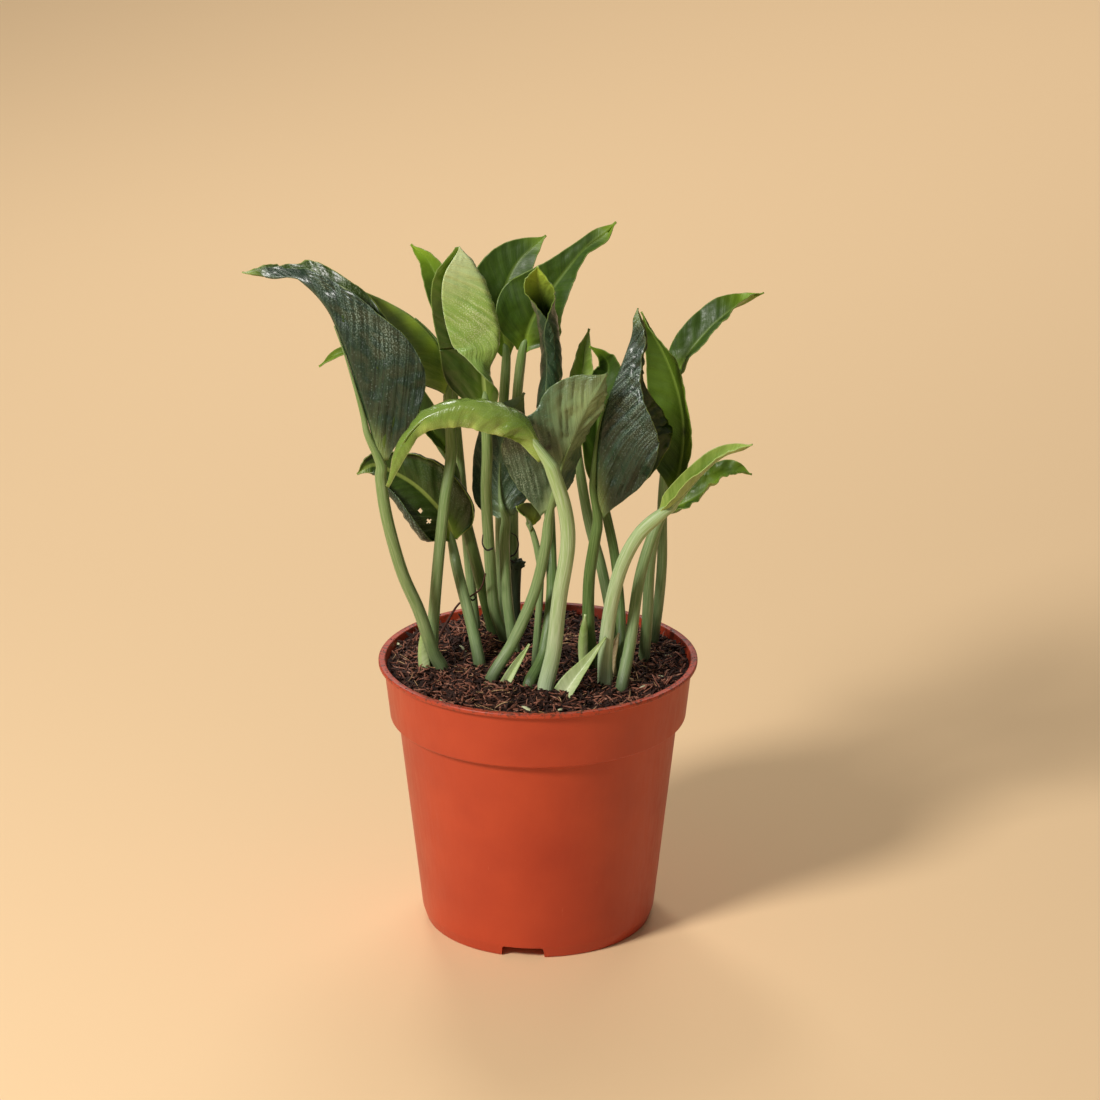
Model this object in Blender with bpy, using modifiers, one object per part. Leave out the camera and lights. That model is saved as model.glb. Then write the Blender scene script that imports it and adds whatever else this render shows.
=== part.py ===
"""A pothos plant in a 12 cm nursery pot: the pot, its soil, and each leaf and petiole of the plant.

The frame has its origin at the centre of the pot's underside, +Z up and -Y to the front. Shape tables are in
millimetres and degrees, and every piece is made in metres.

A leaf is one sheet. Its midrib is a smooth curve through a few points. Across the midrib each half leaves at
a fold angle and bends through a curl angle, both measured towards the upper side of the leaf.
"""

import math
from dataclasses import dataclass

import bmesh
import bpy
from mathutils import Matrix, Vector

MM = 0.001
GAP = 0.3  # between pieces that would touch

# The pot
POT_HEIGHT = 104.6
LIP_RADIUS = 60.0
LIP_WIDTH = 2.6
LIP_DEPTH = 1.6
BAND_TOP_RADIUS = 58.0
BAND_BOTTOM_RADIUS = 55.8
BAND_BOTTOM = 82.2
WALL_TOP_RADIUS = 52.7
WALL_TOP = 81.0
FOOT_TOP_RADIUS = 44.5
FOOT_TOP = 5.0
FOOT_RADIUS = 42.9
WALL = 1.2
FLOOR = 1.5
INNER_CORNER = 8.0  # height of the thick corner inside, between the floor and the wall
FLOOR_INSET = 3.4  # from the foot's edge to where the thick corner starts on the floor
LIP_CHAMFER = 0.5  # slope of the lip's underside
SHOULDER = 1.0  # how far the inside follows the wall's and the band's steps higher up
TURN_STEPS = 48

# The drainage channels under the floor, each ending in a notch in the foot
CHANNELS = 3
CHANNEL_TURN = -97.6  # direction of the first, from +X
CHANNEL_WIDTH = 16.2
CHANNEL_HEIGHT = 4.4
CHANNEL_START = 17.5
CHANNEL_WALL = 1.2
DRAIN_RADIUS = 4.0
DRAIN_CENTRE = 30.0
DRAIN_SIDES = 16
DRAIN_CUT = 5.0  # length of the drill, centred on a channel's roof
RIDGE_INSET = 0.8  # from the foot's edge to the end of a channel's walls
CUT_BELOW = 2.0  # how far the channel cuts run past the underside

# The soil
SOIL_EDGE = 100.6
SOIL_CROWN = 2.0
SOIL_RINGS = 5
HEAPS = ((-30.0, 18.0, 16.0, 3.0), (28.0, 40.0, 18.0, -1.6))  # x, y, spread, height

# The sheets and tubes
LEAF_THICKNESS = 0.8
TIP_HALF_WIDTH = 0.6
LEAF_ROWS = 8
PETIOLE_STEPS = 7
CURL_STEPS = 12
ROOT_END = 2.0  # straight start of a stalk above the soil

OUTLINES = {
    "heart": (0.12, 0.78, 0.98, 1.0, 0.9, 0.72, 0.5, 0.26, 0.0),
    "lance": (0.15, 0.55, 0.85, 1.0, 0.98, 0.85, 0.62, 0.33, 0.0),
    "spear": (0.15, 0.7, 1.0, 0.95, 0.72, 0.45, 0.28, 0.2, 0.0),
    "strap": (0.3, 0.8, 0.95, 1.0, 1.0, 0.92, 0.75, 0.45, 0.0),
    "blunt": (0.3, 0.72, 0.92, 1.0, 1.0, 0.95, 0.84, 0.6, 0.15),
    "folded_back": (0.1, 0.5, 0.7, 0.74, 0.62, 0.42, 0.3, 0.2, 0.0),
    "tailed": (0.12, 0.72, 1.0, 0.94, 0.62, 0.32, 0.17, 0.15, 0.0),
    "shouldered": (0.1, 0.62, 0.92, 1.0, 0.92, 0.72, 0.68, 0.42, 0.0),
    "rolled": (0.15, 0.3, 0.45, 0.9, 1.02, 1.0, 0.88, 0.6, 0.0),
    "arched": (0.35, 0.8, 1.0, 1.05, 0.95, 0.72, 0.48, 0.28, 0.1),
    "saddle": (0.35, 0.8, 0.95, 1.0, 1.0, 0.95, 0.85, 0.6, 0.1),
    "funnel": (0.9, 1.0, 1.0, 1.0, 0.95, 0.8, 0.66, 0.5, 0.0),
    "tongue": (1.0, 1.0, 0.95, 0.86, 0.74, 0.6, 0.42, 0.22, 0.0),
    "almond": (0.1, 0.72, 0.98, 1.0, 0.82, 0.46, 0.3, 0.24, 0.0),
}

MATERIALS = {
    "pot_plastic": ((0.55, 0.075, 0.028), 0.42),
    "soil_coir": ((0.045, 0.020, 0.012), 0.95),
    "leaf_green": ((0.075, 0.19, 0.018), 0.35),
    "leaf_dark": ((0.022, 0.060, 0.028), 0.45),
    "leaf_pale": ((0.22, 0.36, 0.09), 0.40),
    "petiole_green": ((0.21, 0.33, 0.075), 0.45),
    "petiole_pale": ((0.42, 0.53, 0.21), 0.45),
    "sheath_tan": ((0.48, 0.46, 0.22), 0.60),
    "stub_dark": ((0.018, 0.045, 0.022), 0.70),
    "root_brown": ((0.035, 0.020, 0.015), 0.80),
}


@dataclass(frozen=True)
class Half:
    """One half of a leaf: its greatest width, and its fold and curl from base to tip."""

    width: float
    fold: tuple = (30.0, 30.0)
    curl: tuple = (10.0, 10.0)
    bend: tuple = (0.0, 1.0)  # the part of the width that the curl takes up
    outline: str = ""  # this half's own, where it differs from the leaf's


@dataclass(frozen=True)
class Leaf:
    """A leaf blade, from the top of its petiole to its tip."""

    name: str
    midrib: tuple
    facing: tuple  # the upper side's direction at the base and at the tip
    left: Half
    right: Half
    outline: str = "heart"
    lobe: float = 0.0  # how far the two base lobes reach back past the petiole
    columns: int = 6
    material: str = "leaf_green"


@dataclass(frozen=True)
class Stalk:
    """A petiole or other round stem, from the soil up."""

    name: str
    route: tuple
    radius: float = 2.2
    taper: float = 0.85
    material: str = "petiole_green"


LEAVES = (
    Leaf("leaf_01", ((-57, -18, 187), (-61, -17, 202), (-65, -16, 215), (-70, -14, 230), (-76, -11, 243),
                     (-86, -7, 252), (-97, -3, 252), (-107, 0, 253)),
         ((1, 0, 0), (1, 0, 0.4)), Half(25, (78, 72)), Half(27, (90, 72), outline="folded_back"), "tailed",
         material="leaf_dark"),
    Leaf("leaf_02", ((-33, 5, 206), (-34, 5, 214), (-37, 4, 225), (-45, 2, 235), (-55, 0, 242),
                     (-64, -3, 247), (-69, -5, 250)),
         ((-0.7, -0.3, -0.6), (-0.6, -0.2, -0.8)), Half(17, (58, 50)), Half(12, (70, 60), (25, 25))),
    Leaf("leaf_03", ((-19, -5, 204), (-20, -5, 218), (-20, -5, 229), (-23, -6, 242), (-26, -7, 254),
                     (-28, -9, 265)),
         ((0, -1, 0.1), (0, -1, 0.1)), Half(16, (5, 5), (0, 0), outline="saddle"),
         Half(27, (10, 5), (0, 60, 130, 160, 160, 160, 160, 160, 155), (0.2, 0.4), "rolled"), "blunt",
         columns=12),
    Leaf("leaf_04", ((-33, 20, 222), (-34, 21, 233), (-37, 24, 244), (-41, 27, 251), (-47, 30, 256)),
         ((-0.2, -0.9, 0.3), (-0.2, -0.8, 0.5)), Half(6), Half(6), "lance"),
    Leaf("leaf_05", ((3, -36, 194), (-5, -37, 208), (-19, -38, 214), (-33, -38, 213), (-45, -38, 204),
                     (-54, -38, 184)),
         ((0.3, -0.5, 0.8), (-0.4, -0.7, 0.3)), Half(9, (-25, -20), (-50, -40)),
         Half(10, (-15, -15), (-60, -60)), "arched"),
    Leaf("leaf_06", ((-12, 45, 209), (-14, 47, 226), (-9, 50, 242), (3, 52, 254)),
         ((0, -0.9, 0.3), (0, -0.8, 0.5)), Half(14, (10, 10)), Half(11, (10, 10)), "lance",
         material="leaf_dark"),
    Leaf("leaf_07", ((-6, 38, 213), (-2, 36, 226), (6, 34, 239), (17, 33, 253), (29, 32, 264)),
         ((0, -0.9, 0.3), (-0.2, -0.8, 0.5)), Half(15, (15, 10)), Half(13, (15, 20)), "spear"),
    Leaf("leaf_08", ((3, 15, 198), (5, 16, 214), (4, 15, 227), (2, 12, 238), (0, 9, 247), (0, 5, 254)),
         ((0, -1, 0.1), (0, -1, 0.5)), Half(13, (5, 10), (150, 150, 150, 95, 25)),
         Half(14, (5, 10), (150, 150, 150, 95, 25)), "funnel", columns=10, material="leaf_dark"),
    Leaf("leaf_09", ((15, 14, 180), (16, 16, 200), (16, 18, 209), (17, 20, 218), (19, 22, 226)),
         ((0, -1, 0.1), (0.2, -1, 0.2)), Half(6), Half(5), "lance"),
    Leaf("leaf_10", ((4, -18, 168), (7, -21, 181), (10, -23, 191), (14, -25, 201), (19, -26, 213),
                     (25, -27, 223)),
         ((-0.2, 1, 0), (-0.2, 1, 0.2)), Half(10, (35, 20)), Half(23, (5, 5), (30, 15)), "shouldered",
         lobe=5, material="leaf_dark"),
    Leaf("leaf_11", ((-2, -3, 157), (-4, -6, 162), (-8, -10, 167)),
         ((0, -0.6, 0.8), (0, -0.6, 0.8)), Half(5), Half(5), "strap", material="leaf_dark"),
    Leaf("leaf_12", ((22, -14, 166), (22, -15, 183), (23, -16, 198), (26, -16, 210), (30, -15, 221),
                     (34, -13, 233), (36, -12, 243)),
         ((1, 0, 0.1), (1, 0, 0.1)), Half(22, (72, 50)), Half(29, (62, 45), (20, 5)), "almond", lobe=3,
         material="leaf_dark"),
    Leaf("leaf_13", ((50, 1, 169), (53, 4, 179), (54, 6, 192), (52, 7, 205), (48, 8, 217), (43, 9, 227),
                     (38, 9, 236)),
         ((-0.6, -0.7, 0.2), (-0.6, -0.7, 0.2)), Half(13, (40, 40)), Half(14, (35, 35))),
    Leaf("leaf_14", ((51, 20, 207), (56, 21, 217), (65, 23, 227), (73, 25, 233), (84, 28, 238)),
         ((-0.4, -0.7, 0.6), (-0.3, -0.7, 0.7)), Half(8, (10, 10)), Half(8, (50, 50)), "strap"),
    Leaf("leaf_15", ((24, 5, 166), (22, 7, 176), (22, 9, 191), (23, 11, 204), (26, 13, 213), (24, 13, 218),
                     (19, 12, 222)),
         ((-0.2, -1, 0.1), (0, -1, 0.2)), Half(7), Half(8), "lance", material="leaf_dark"),
    Leaf("leaf_16", ((45, -30, 172), (51, -31, 178), (58, -33, 186), (66, -34, 194), (77, -36, 199)),
         ((-0.5, -0.4, 0.8), (-0.5, -0.4, 0.8)), Half(5, (50, 50)), Half(5, (50, 50)), "strap",
         material="leaf_pale"),
    Leaf("leaf_17", ((47, -13, 167), (53, -15, 170), (59, -16, 174), (65, -17, 179), (71, -18, 183),
                     (78, -18, 182)),
         ((-0.3, -0.5, 0.8), (-0.3, -0.5, 0.8)), Half(7), Half(6), "strap"),
    Leaf("leaf_18", ((-32, 11, 147), (-34, 9, 155), (-39, 7, 163), (-46, 7, 170), (-54, 7, 175),
                     (-61, 6, 178), (-67, 4, 175)),
         ((0.15, -0.9, 0.4), (0.15, -0.8, 0.6)), Half(19, (5, 5), (150, 150), (0.55, 1)),
         Half(16, (20, 20), (120, 120), (0.6, 1)), columns=10, material="leaf_dark"),
    Leaf("leaf_19", ((-32, 11, 178), (-42, 13, 193), (-57, 16, 215), (-71, 17, 219), (-81, 16, 213)),
         ((0.2, -0.8, 0.6), (0.2, -0.6, 0.8)), Half(6), Half(6), "spear"),
    Leaf("leaf_20", ((-12, 8, 157), (-14, 10, 165), (-14, 12, 177), (-12, 14, 190), (-5, 16, 203)),
         ((0.1, 1, 0), (0.1, 1, 0.2)), Half(11, (10, 10)), Half(11, (10, 10)), "strap", material="leaf_dark"),
    Leaf("sheath_1", ((9.5, -35.5, 103), (13, -34, 108), (18, -32, 114), (25, -29, 123)),
         ((-0.45, -0.8, 0.45), (-0.45, -0.8, 0.45)), Half(4.2, (20, 20), (20, 20)),
         Half(4.2, (10, 10), (30, 30)), "tongue", columns=4, material="petiole_pale"),
    Leaf("sheath_2", ((28, -19, 103), (27, -16, 109), (30, -14, 119)),
         ((0, -1, 0.2), (0, -1, 0.2)), Half(2.4), Half(2.4), "strap", columns=4, material="sheath_tan"),
    Leaf("sheath_3", ((-12, -26, 103), (-8, -24, 110), (-3, -23, 118)),
         ((-0.3, -0.9, 0.3), (-0.3, -0.9, 0.3)), Half(2.4), Half(2.4), "tongue", columns=4,
         material="petiole_pale"),
    Leaf("sheath_4", ((-43.5, -9, 102), (-44, -8, 110), (-43, -7, 119)),
         ((0.6, 0.7, 0), (0.6, 0.7, 0)), Half(3.6, (10, 10), (60, 60)), Half(3.6, (10, 10), (60, 60)),
         "tongue", columns=4, material="petiole_pale"),
    Leaf("sheath_5", ((17, -13, 104), (16.5, -14, 115), (17.5, -16, 127)),
         ((0.3, 1, 0), (0.3, 1, 0)), Half(2, (10, 10), (40, 40)), Half(2, (10, 10), (40, 40)), "strap",
         columns=4, material="petiole_pale"),
)

STALKS = (
    Stalk("petiole_01", ((-36, -11), (-39, -12, 111), (-44, -14, 128), (-50, -16, 144), (-55, -18, 165),
                         (-57, -18, 180), (-57, -18, 186)), 2.5),
    Stalk("petiole_02", ((-40, -5), (-39, -4, 120), (-37, -4, 143), (-34.5, -2, 166), (-32, 3, 184),
                         (-33, 5, 205)), 2.3),
    Stalk("petiole_03", ((-12.5, 15), (-16.5, 10, 120), (-18, 3, 144), (-19, -3, 170), (-18.5, -5, 186),
                         (-19, -5, 203)), 2.3),
    Stalk("petiole_04", ((-24, 25), (-26, 24, 130), (-29, 22, 170), (-33, 20, 221)), 2),
    Stalk("petiole_05", ((3, -31), (6, -31, 119), (8, -32, 139), (11, -34, 160), (10, -35, 174),
                         (6, -36, 188), (4, -36, 192.5)), 3, material="petiole_pale"),
    Stalk("petiole_06", ((-14, 39), (-14.5, 41, 129), (-14, 43, 174), (-12, 45, 208)), 2.2),
    Stalk("petiole_07", ((-9, 45), (-9.5, 44, 127), (-9.5, 43, 160), (-8, 42, 192), (-6, 38, 212)), 2.2),
    Stalk("petiole_08", ((-3, -28), (2, -20, 113), (5, -10, 131), (5, 0, 143), (4, 10, 163), (2, 14, 181),
                         (2.5, 15, 196.5)), 2.2),
    Stalk("petiole_09", ((29, -3), (28, 0, 117), (24, 6, 137), (19, 10, 155), (15, 14, 179)), 2.2),
    Stalk("petiole_10", ((-17, -23), (-9, -20, 118), (-1, -18, 137), (3, -18, 155), (4, -18, 164.5)), 2.3),
    Stalk("petiole_11", ((-1, -8), (1, -6, 136), (0, -4, 147), (-2, -3, 155)), 1.4),
    Stalk("petiole_12", ((21, -8), (19, -10, 119), (19, -12, 139), (21, -14, 155), (22, -14, 163.5)), 2.4),
    Stalk("petiole_13", ((40, 0), (41, 0, 119), (42, 0, 143), (45, 0, 158), (50, 1, 168)), 2.2),
    Stalk("petiole_14", ((44, 20), (46, 20, 120), (47, 20, 136), (47, 22, 159), (49, 22, 183),
                         (51, 20, 206)), 2.1),
    Stalk("petiole_15", ((31, -16), (31, -6, 121), (29, 1, 142), (26, 4, 157), (24, 5, 165)), 2),
    Stalk("petiole_16", ((25, -24), (25, -25, 116), (27, -27, 135), (31, -28, 151), (37, -29, 163),
                         (45, -30, 171)), 2.8, material="petiole_pale"),
    Stalk("petiole_17", ((31, -30), (34, -24, 118), (37, -18, 139), (41, -15, 154), (46, -13, 165)), 2.3),
    Stalk("petiole_18", ((-22, -6), (-25, -1, 118), (-30, 6, 136), (-32, 11, 144.5)), 2.3),
    Stalk("petiole_19", ((-17, 21), (-20, 17, 121), (-26, 15, 148), (-30, 14.5, 165), (-32, 11.5, 176.5)),
                         2.4),
    Stalk("petiole_20", ((-9, 6), (-11.5, 7, 124), (-12.5, 8, 146), (-12, 8, 156)), 2.2),
    Stalk("cut_stub", ((-9, 39), (-9, 38.5, 115), (-8.5, 38, 128)), 2.0, 1.1, "stub_dark"),
    Stalk("wiry_root", ((-38, 12), (-31, 11, 120), (-26, 8, 125), (-21.5, 4, 130), (-19.5, -2, 138)), 0.5,
          0.6, "root_brown"),
)


def smooth_curve(points, steps):
    """Evenly numbered points along a Catmull-Rom curve through the given points."""
    ends = [2 * points[0] - points[1], *points, 2 * points[-1] - points[-2]]
    spans = len(points) - 1
    curve = []
    for step in range(steps + 1):
        along = step / steps * spans
        span = min(int(along), spans - 1)
        t = along - span
        a, b, c, d = ends[span:span + 4]
        curve.append(0.5 * (2 * b + (c - a) * t + (2 * a - 5 * b + 4 * c - d) * t * t
                            + (3 * b - a - 3 * c + d) * t ** 3))
    return curve


def between(keys, t):
    """The value at t from 0 to 1 along evenly spaced keys, on a smooth curve that keeps flat ends flat."""
    along = t * (len(keys) - 1)
    span = min(int(along), len(keys) - 2)
    t = along - span
    a = keys[max(span - 1, 0)]
    b, c = keys[span], keys[span + 1]
    d = keys[min(span + 2, len(keys) - 1)]
    return 0.5 * (2 * b + (c - a) * t + (2 * a - 5 * b + 4 * c - d) * t * t
                  + (3 * b - a - 3 * c + d) * t ** 3)


def soil_height(x, y):
    """The soil's surface at a place in the pot, in mm."""
    crown = SOIL_CROWN * (1 - (x * x + y * y) / BAND_TOP_RADIUS ** 2)
    heaps = sum(
        height * math.exp(-((x - hx) ** 2 + (y - hy) ** 2) / spread ** 2) for hx, hy, spread, height in HEAPS
    )
    return SOIL_EDGE + crown + heaps


def add_object(name, data, material, collection):
    """An object in the collection, with its material."""
    obj = bpy.data.objects.new(name, data)
    collection.objects.link(obj)
    if material:
        data.materials.append(bpy.data.materials[material])
    return obj


def add_mesh(name, bm, material, collection):
    """An object from a bmesh, shaded smooth."""
    mesh = bpy.data.meshes.new(name)
    bmesh.ops.recalc_face_normals(bm, faces=bm.faces)
    bm.to_mesh(mesh)
    bm.free()
    mesh.shade_smooth()
    mesh.set_sharp_from_angle(angle=math.radians(35))
    return add_object(name, mesh, material, collection)


def make_materials():
    """A Principled material for each finish."""
    for name, (colour, roughness) in MATERIALS.items():
        material = bpy.data.materials.new(name)
        material.use_nodes = True
        shader = material.node_tree.nodes["Principled BSDF"]
        shader.inputs["Base Color"].default_value = (*colour, 1)
        shader.inputs["Roughness"].default_value = roughness
        shader.inputs["Metallic"].default_value = 0


def turned(name, profile, material, collection):
    """A turned solid from a half profile of (radius, height) in mm that starts and ends on the axis."""
    mesh = bpy.data.meshes.new(name)
    points = [(r * MM, 0, z * MM) for r, z in profile]
    edges = [(i, i + 1) for i in range(len(points) - 1)]
    mesh.from_pydata(points, edges, [])
    obj = add_object(name, mesh, material, collection)
    screw = obj.modifiers.new("Turn", "SCREW")
    screw.axis = "Z"
    screw.steps = TURN_STEPS
    screw.render_steps = TURN_STEPS
    screw.use_merge_vertices = True
    screw.merge_threshold = 0.00001
    return obj


def channel_frames():
    """The turn of each drainage channel about the pot's axis."""
    for channel in range(CHANNELS):
        yield Matrix.Rotation(math.radians(CHANNEL_TURN + 360 / CHANNELS * channel), 4, "Z")


def radial_boxes(name, start, end, half_width, bottom, top, collection):
    """One box along each channel, from start to end from the axis."""
    bm = bmesh.new()
    for turn in channel_frames():
        size = Matrix.Diagonal(((end - start) * MM, 2 * half_width * MM, (top - bottom) * MM, 1))
        place = Matrix.Translation(((start + end) / 2 * MM, 0, (bottom + top) / 2 * MM))
        bmesh.ops.create_cube(bm, size=1, matrix=turn @ place @ size)
    return add_mesh(name, bm, None, collection)


def boolean(obj, other, operation):
    """Join or cut obj with other, which stays hidden as a cutter."""
    modifier = obj.modifiers.new(other.name, "BOOLEAN")
    modifier.operation = operation
    modifier.solver = "EXACT"
    modifier.object = other
    other.hide_render = True
    other.display_type = "WIRE"


def make_pot(parts, cutters):
    """The pot: a turned shell whose floor has raised channels, notches in the foot and drain holes."""
    lip = POT_HEIGHT - LIP_DEPTH
    inner_foot = FOOT_TOP_RADIUS - WALL
    profile = (
        (0, FLOOR),
        (FOOT_RADIUS - FLOOR_INSET, FLOOR),
        (inner_foot, INNER_CORNER),
        (WALL_TOP_RADIUS - WALL, WALL_TOP + SHOULDER),
        (BAND_BOTTOM_RADIUS - WALL, BAND_BOTTOM + SHOULDER),
        (LIP_RADIUS - LIP_WIDTH, POT_HEIGHT),
        (LIP_RADIUS, POT_HEIGHT),
        (LIP_RADIUS, lip),
        (BAND_TOP_RADIUS, lip - LIP_CHAMFER),
        (BAND_BOTTOM_RADIUS, BAND_BOTTOM),
        (WALL_TOP_RADIUS, WALL_TOP),
        (FOOT_TOP_RADIUS, FOOT_TOP),
        (FOOT_RADIUS, 0),
        (0, 0),
    )
    pot = turned("pot", profile, "pot_plastic", parts)
    roof = CHANNEL_HEIGHT + CHANNEL_WALL
    half = CHANNEL_WIDTH / 2
    ridges = radial_boxes("channel_ridges", CHANNEL_START - CHANNEL_WALL, FOOT_RADIUS - RIDGE_INSET,
                          half + CHANNEL_WALL, FLOOR / 3, roof, cutters)
    boolean(pot, ridges, "UNION")
    channels = radial_boxes("channel_cuts", CHANNEL_START, LIP_RADIUS, half, -CUT_BELOW, CHANNEL_HEIGHT,
                            cutters)
    boolean(pot, channels, "DIFFERENCE")
    bm = bmesh.new()
    for turn in channel_frames():
        place = Matrix.Translation((DRAIN_CENTRE * MM, 0, roof * MM))
        bmesh.ops.create_cone(bm, cap_ends=True, segments=DRAIN_SIDES, radius1=DRAIN_RADIUS * MM,
                              radius2=DRAIN_RADIUS * MM, depth=DRAIN_CUT * MM, matrix=turn @ place)
    boolean(pot, add_mesh("drain_cuts", bm, None, cutters), "DIFFERENCE")


def make_soil(parts, cutters):
    """The soil: it fills the pot with a small gap, is grooved for the channels and heaped on top."""
    slope = (WALL_TOP_RADIUS - FOOT_TOP_RADIUS) / (WALL_TOP + SHOULDER - INNER_CORNER)
    band_slope = (LIP_RADIUS - LIP_WIDTH - BAND_BOTTOM_RADIUS + WALL) / (POT_HEIGHT - BAND_BOTTOM - SHOULDER)
    edge_radius = BAND_BOTTOM_RADIUS - WALL + band_slope * (SOIL_EDGE - BAND_BOTTOM - 2 * SHOULDER)
    profile = [(edge_radius * ring / SOIL_RINGS - (GAP if ring == SOIL_RINGS else 0), SOIL_EDGE)
               for ring in range(SOIL_RINGS + 1)]
    profile += [
        (BAND_BOTTOM_RADIUS - WALL - GAP, BAND_BOTTOM + SHOULDER + GAP),
        (WALL_TOP_RADIUS - WALL - GAP, WALL_TOP + SHOULDER + GAP),
        (FOOT_TOP_RADIUS - WALL - GAP - slope * GAP, INNER_CORNER + GAP),
        (FOOT_RADIUS - FLOOR_INSET - GAP, FLOOR + GAP),
        (0, FLOOR + GAP),
    ]
    soil = turned("soil", profile, "soil_coir", parts)
    graph = bpy.context.evaluated_depsgraph_get()
    mesh = bpy.data.meshes.new_from_object(soil.evaluated_get(graph))
    bpy.data.objects.remove(soil)
    for vertex in mesh.vertices:
        x, y, z = vertex.co / MM
        if z > SOIL_EDGE - GAP / 2:
            vertex.co.z = soil_height(x, y) * MM
    mesh.name = "soil"
    soil = add_object("soil", mesh, None, parts)
    grooves = radial_boxes("soil_grooves", CHANNEL_START - CHANNEL_WALL - GAP, LIP_RADIUS,
                           CHANNEL_WIDTH / 2 + CHANNEL_WALL + GAP, -CUT_BELOW,
                           CHANNEL_HEIGHT + CHANNEL_WALL + GAP, cutters)
    boolean(soil, grooves, "DIFFERENCE")


def make_stalk(stalk, parts):
    """A round stem on a smooth route that leaves the soil straight up."""
    x, y = stalk.route[0]
    ground = soil_height(x, y) + 2 * GAP
    guide = [Vector((x, y, ground + ROOT_END)), *(Vector(p) for p in stalk.route[1:])]
    route = [Vector((x, y, ground)), *smooth_curve(guide, PETIOLE_STEPS)]
    curve = bpy.data.curves.new(stalk.name, "CURVE")
    curve.dimensions = "3D"
    curve.bevel_depth = stalk.radius * MM
    curve.bevel_resolution = 2
    curve.use_fill_caps = True
    spline = curve.splines.new("POLY")
    spline.points.add(len(route) - 1)
    for step, (point, place) in enumerate(zip(spline.points, route)):
        point.co = (*(place * MM), 1)
        point.radius = 1 + (stalk.taper - 1) * step / (len(route) - 1)
    add_object(stalk.name, curve, stalk.material, parts)


def half_offset(half, reach, u, v):
    """How far a point of a half lies out from the midrib and up from it, in mm."""
    fold = math.radians(between(half.fold, u))
    curl = math.radians(between(half.curl, u))
    start, end = half.bend
    out = up = 0.0
    for step in range(CURL_STEPS):
        across = (step + 0.5) / CURL_STEPS * v
        turn = min(max((across - start) / (end - start), 0), 1)
        angle = fold + curl * turn
        out += math.cos(angle) * reach * v / CURL_STEPS
        up += math.sin(angle) * reach * v / CURL_STEPS
    return out, up


def leaf_place(leaf, midrib, u, v):
    """The point of the sheet at u along the midrib and v across, from -1 at the left to 1 at the right."""
    along = u * (len(midrib) - 1)
    row = min(int(along), len(midrib) - 2)
    rib = midrib[row].lerp(midrib[row + 1], along - row)
    before = midrib[max(row - 1, 0)] if along - row < 0.5 else midrib[row]
    after = midrib[row + 1] if along - row < 0.5 else midrib[min(row + 2, len(midrib) - 1)]
    tangent = (after - before).normalized()
    facing = Vector(leaf.facing[0]).lerp(Vector(leaf.facing[1]), u)
    up = (facing - facing.dot(tangent) * tangent).normalized()
    side = tangent.cross(up)
    half = leaf.right if v > 0 else leaf.left
    reach = max(half.width * between(OUTLINES[half.outline or leaf.outline], u), TIP_HALF_WIDTH)
    out, lift = half_offset(half, reach, u, abs(v))
    back = leaf.lobe * (1 - u) ** 2 * max(abs(v) - 0.25, 0) ** 1.5
    return rib + side * (out if v > 0 else -out) + up * lift - tangent * back


def make_leaf(leaf, parts):
    """A leaf sheet: a grid bent onto the leaf's form, with Solidify for its thickness."""
    midrib = smooth_curve([Vector(p) for p in leaf.midrib], LEAF_ROWS)
    bm = bmesh.new()
    bmesh.ops.create_grid(bm, x_segments=LEAF_ROWS, y_segments=leaf.columns, size=0.5)
    for vertex in bm.verts:
        vertex.co = leaf_place(leaf, midrib, vertex.co.x + 0.5, 2 * vertex.co.y) * MM
    obj = add_mesh(leaf.name, bm, leaf.material, parts)
    solidify = obj.modifiers.new("Thickness", "SOLIDIFY")
    solidify.thickness = LEAF_THICKNESS * MM
    solidify.offset = 0


def main():
    """Build the whole plant in an empty scene."""
    for obj in list(bpy.data.objects):
        bpy.data.objects.remove(obj)
    parts = bpy.data.collections.new("potted_pothos_plant")
    cutters = bpy.data.collections.new("cutters")
    for collection in (parts, cutters):
        bpy.context.scene.collection.children.link(collection)
    make_materials()
    make_pot(parts, cutters)
    make_soil(parts, cutters)
    for stalk in STALKS:
        make_stalk(stalk, parts)
    for leaf in LEAVES:
        make_leaf(leaf, parts)


main()
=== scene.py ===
"""A young pothos in a 12 cm nursery pot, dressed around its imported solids.

Shape tables are in millimetres and degrees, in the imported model's frame: the origin is the centre of the
pot's underside, +Z is up and -Y is the front. Every mesh is made in metres.

A leaf blade is one sheet bent over a midrib. Each half leaves the midrib at a fold angle and bends through a
curl angle, and then the living detail goes on: pleats along the side veins, a waved margin and crumpling.
"""

import logging
import math
import random
from collections.abc import Iterable, Sequence
from dataclasses import dataclass
from enum import Enum

import bmesh
import bpy
from mathutils import Euler, Matrix, Vector, noise


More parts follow.
